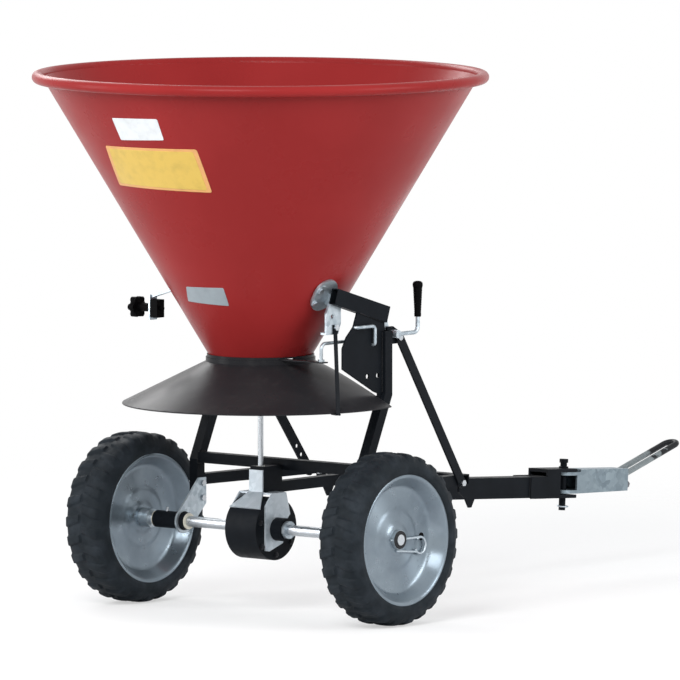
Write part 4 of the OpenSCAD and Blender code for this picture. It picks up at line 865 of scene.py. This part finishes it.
def patch(name, corners, lift, material, steps=(28, 10), round_r=0.006):
    """Thin label with rounded corners that follows the hopper's wall between four corners."""
    bm = bmesh.new()
    columns, rows = steps
    top_left, top_right, low_right, low_left = corners
    width = (cone_point(*top_left, 0) - cone_point(*top_right, 0)).length
    height = (cone_point(*top_left, 0) - cone_point(*low_left, 0)).length

    def place(u, v, off):
        across = (min(u, 1 - u)) * width
        down = (min(v, 1 - v)) * height
        if across < round_r and down < round_r:
            gap = Vector((round_r - across, round_r - down))
            if gap.length > round_r:
                gap = gap.normalized() * round_r
                u_in = (round_r - gap.x) / width
                v_in = (round_r - gap.y) / height
                u = u_in if u < 0.5 else 1 - u_in
                v = v_in if v < 0.5 else 1 - v_in
        angle = ((top_left[0] * (1 - u) + top_right[0] * u) * (1 - v)
                 + (low_left[0] * (1 - u) + low_right[0] * u) * v)
        z = ((top_left[1] * (1 - u) + top_right[1] * u) * (1 - v)
             + (low_left[1] * (1 - u) + low_right[1] * u) * v)
        return cone_point(angle, z, off)

    marks_u = sorted(set([i / columns for i in range(columns + 1)]
                         + [k * round_r / 4 / width for k in range(5)]
                         + [1 - k * round_r / 4 / width for k in range(5)]))
    marks_v = sorted(set([i / rows for i in range(rows + 1)]
                         + [k * round_r / 4 / height for k in range(5)]
                         + [1 - k * round_r / 4 / height for k in range(5)]))
    grid = [[bm.verts.new(place(u, v, lift)) for u in marks_u] for v in marks_v]
    for a, b in zip(grid, grid[1:]):
        for i in range(len(a) - 1):
            bm.faces.new((a[i], a[i + 1], b[i + 1], b[i]))
    piece = show(name, bm, material, "frame", 60)
    thick = piece.modifiers.new("thickness", "SOLIDIFY")
    thick.thickness = lift * 0.9
    thick.offset = -1


# Bare labels: material, lift, corner radius, and the corners from top left clockwise, each as its
# angle round the hopper in degrees and its height
LABELS = {
    "upper_label": (WHITE_LABEL, 0.0005, 0.004, ((-186.8, 1.1766), (-170.0, 1.1797),
                                                 (-169.9, 1.1294), (-187.2, 1.1240))),
    "front_label": (BORDER_LABEL, 0.0005, 0.005, ((-197.3, 1.1065), (-159.6, 1.1100),
                                                  (-157.2, 1.0068), (-202.5, 1.0114))),
    "front_panel": (YELLOW_LABEL, 0.0008, 0.004, ((-195.9, 1.1011), (-161.0, 1.1040),
                                                  (-158.9, 1.0124), (-200.5, 1.0168))),
    "lower_plate": (GREY_LABEL, 0.0005, 0.003, ((-190.0, 0.7740), (-162.0, 0.7763),
                                                (-160.9, 0.7327), (-195.8, 0.7378))),
}
for name, (material, lift, round_r, corners) in LABELS.items():
    patch(name, [(math.radians(angle), height) for angle, height in corners], lift,
          material, round_r=round_r)


# Camera

VIEW_AZIMUTH = math.radians(-49.34)
VIEW_ELEVATION = math.radians(5.154)
VIEW_DISTANCE = 27.6
FOCAL_PX = 11888
PHOTO_PX = 680
SENSOR = 36.0
# Point of the object that the camera was fitted about, and the one in the photo's middle
FITTED = Vector((AXLE_X, 0, 0.6))
IN_MIDDLE = Vector((AXLE_X + 0.285, 0, 0.6184))

back = Vector((math.sin(VIEW_AZIMUTH) * math.cos(VIEW_ELEVATION),
               -math.cos(VIEW_AZIMUTH) * math.cos(VIEW_ELEVATION),
               math.sin(VIEW_ELEVATION)))
camera_data = bpy.data.cameras.new("camera")
camera_data.sensor_width = SENSOR
camera_data.lens = FOCAL_PX * SENSOR / PHOTO_PX
camera_data.clip_end = 200
camera = bpy.data.objects.new("camera", camera_data)
bpy.context.scene.collection.objects.link(camera)
camera.location = FITTED + back * VIEW_DISTANCE
camera.rotation_euler = (IN_MIDDLE - camera.location).to_track_quat("-Z", "Y").to_euler()
bpy.context.scene.camera = camera


# Light and background

def softbox(name, place, aim, size, power):
    data = bpy.data.lights.new(name, "AREA")
    data.shape = "RECTANGLE"
    data.size = size[0]
    data.size_y = size[1]
    data.energy = power
    lamp = bpy.data.objects.new(name, data)
    bpy.context.scene.collection.objects.link(lamp)
    lamp.location = place
    lamp.rotation_euler = (Vector(aim) - Vector(place)).to_track_quat("-Z", "Y").to_euler()


CENTRE = (-0.3, 0, 0.6)
softbox("key", (-4.4, -1.6, 3.4), CENTRE, (2.2, 2.2), 170)
softbox("fill", (0.9, -4.8, 2.2), CENTRE, (2.6, 2.6), 110)
softbox("back", (1.5, 4.2, 3.4), CENTRE, (2.5, 2.0), 90)
softbox("left", (-2.9, 2.5, 1.3), CENTRE, (0.8, 2.4), 45)

world = bpy.data.worlds.new("studio")
bpy.context.scene.world = world
world.use_nodes = True
tree = world.node_tree
tree.nodes.clear()
path = tree.nodes.new("ShaderNodeLightPath")
ambient = tree.nodes.new("ShaderNodeBackground")
ambient.inputs["Color"].default_value = (0.95, 0.97, 1, 1)
ambient.inputs["Strength"].default_value = 0.55
white = tree.nodes.new("ShaderNodeBackground")
white.inputs["Color"].default_value = (1, 1, 1, 1)
seen = tree.nodes.new("ShaderNodeMath")
seen.operation = "MAXIMUM"
seen_more = tree.nodes.new("ShaderNodeMath")
seen_more.operation = "MAXIMUM"
mix = tree.nodes.new("ShaderNodeMixShader")
out = tree.nodes.new("ShaderNodeOutputWorld")
tree.links.new(path.outputs["Is Camera Ray"], seen.inputs[0])
tree.links.new(path.outputs["Is Glossy Ray"], seen.inputs[1])
tree.links.new(seen.outputs[0], seen_more.inputs[0])
tree.links.new(path.outputs["Is Transmission Ray"], seen_more.inputs[1])
tree.links.new(seen_more.outputs[0], mix.inputs["Fac"])
tree.links.new(ambient.outputs[0], mix.inputs[1])
tree.links.new(white.outputs[0], mix.inputs[2])
tree.links.new(mix.outputs[0], out.inputs["Surface"])

FLOOR_HALF = 3.2
floor_bm = bmesh.new()
bmesh.ops.create_grid(floor_bm, x_segments=1, y_segments=1, size=FLOOR_HALF)
floor_mesh = bpy.data.meshes.new("floor")
floor_bm.to_mesh(floor_mesh)
floor_bm.free()
floor = bpy.data.objects.new("floor", floor_mesh)
floor.location = (0, 0, -0.0005)
bpy.context.scene.collection.objects.link(floor)
pale = bpy.data.materials.new("floor")
pale.use_nodes = True
floor.data.materials.append(pale)
tree = pale.node_tree
surface = tree.nodes["Principled BSDF"]
surface.inputs["Base Color"].default_value = (0.96, 0.96, 0.96, 1)
surface.inputs["Roughness"].default_value = 0.9
surface.inputs["Specular IOR Level"].default_value = 0.1
# Share of plain white in what the camera sees of the floor, which lightens its shadow
FLOOR_WHITE = 0.5
places = tree.nodes.new("ShaderNodeTexCoord")
length = tree.nodes.new("ShaderNodeVectorMath")
length.operation = "LENGTH"
fade = tree.nodes.new("ShaderNodeMapRange")
fade.interpolation_type = "SMOOTHSTEP"
fade.inputs["From Min"].default_value = 1.2
fade.inputs["From Max"].default_value = FLOOR_HALF
glow = tree.nodes.new("ShaderNodeEmission")
glow.inputs["Color"].default_value = (1, 1, 1, 1)
clear = tree.nodes.new("ShaderNodeBsdfTransparent")
floor_path = tree.nodes.new("ShaderNodeLightPath")
share = tree.nodes.new("ShaderNodeMath")
share.operation = "MULTIPLY"
share.inputs[1].default_value = FLOOR_WHITE
near = tree.nodes.new("ShaderNodeMixShader")
far = tree.nodes.new("ShaderNodeMixShader")
tree.links.new(floor_path.outputs["Is Camera Ray"], share.inputs[0])
tree.links.new(share.outputs[0], near.inputs["Fac"])
tree.links.new(surface.outputs[0], near.inputs[1])
tree.links.new(glow.outputs[0], near.inputs[2])
tree.links.new(places.outputs["Object"], length.inputs[0])
tree.links.new(length.outputs["Value"], fade.inputs["Value"])
tree.links.new(fade.outputs["Result"], far.inputs["Fac"])
tree.links.new(near.outputs[0], far.inputs[1])
tree.links.new(clear.outputs[0], far.inputs[2])
tree.links.new(far.outputs[0], tree.nodes["Material Output"].inputs["Surface"])

bpy.context.scene.view_settings.view_transform = "Standard"
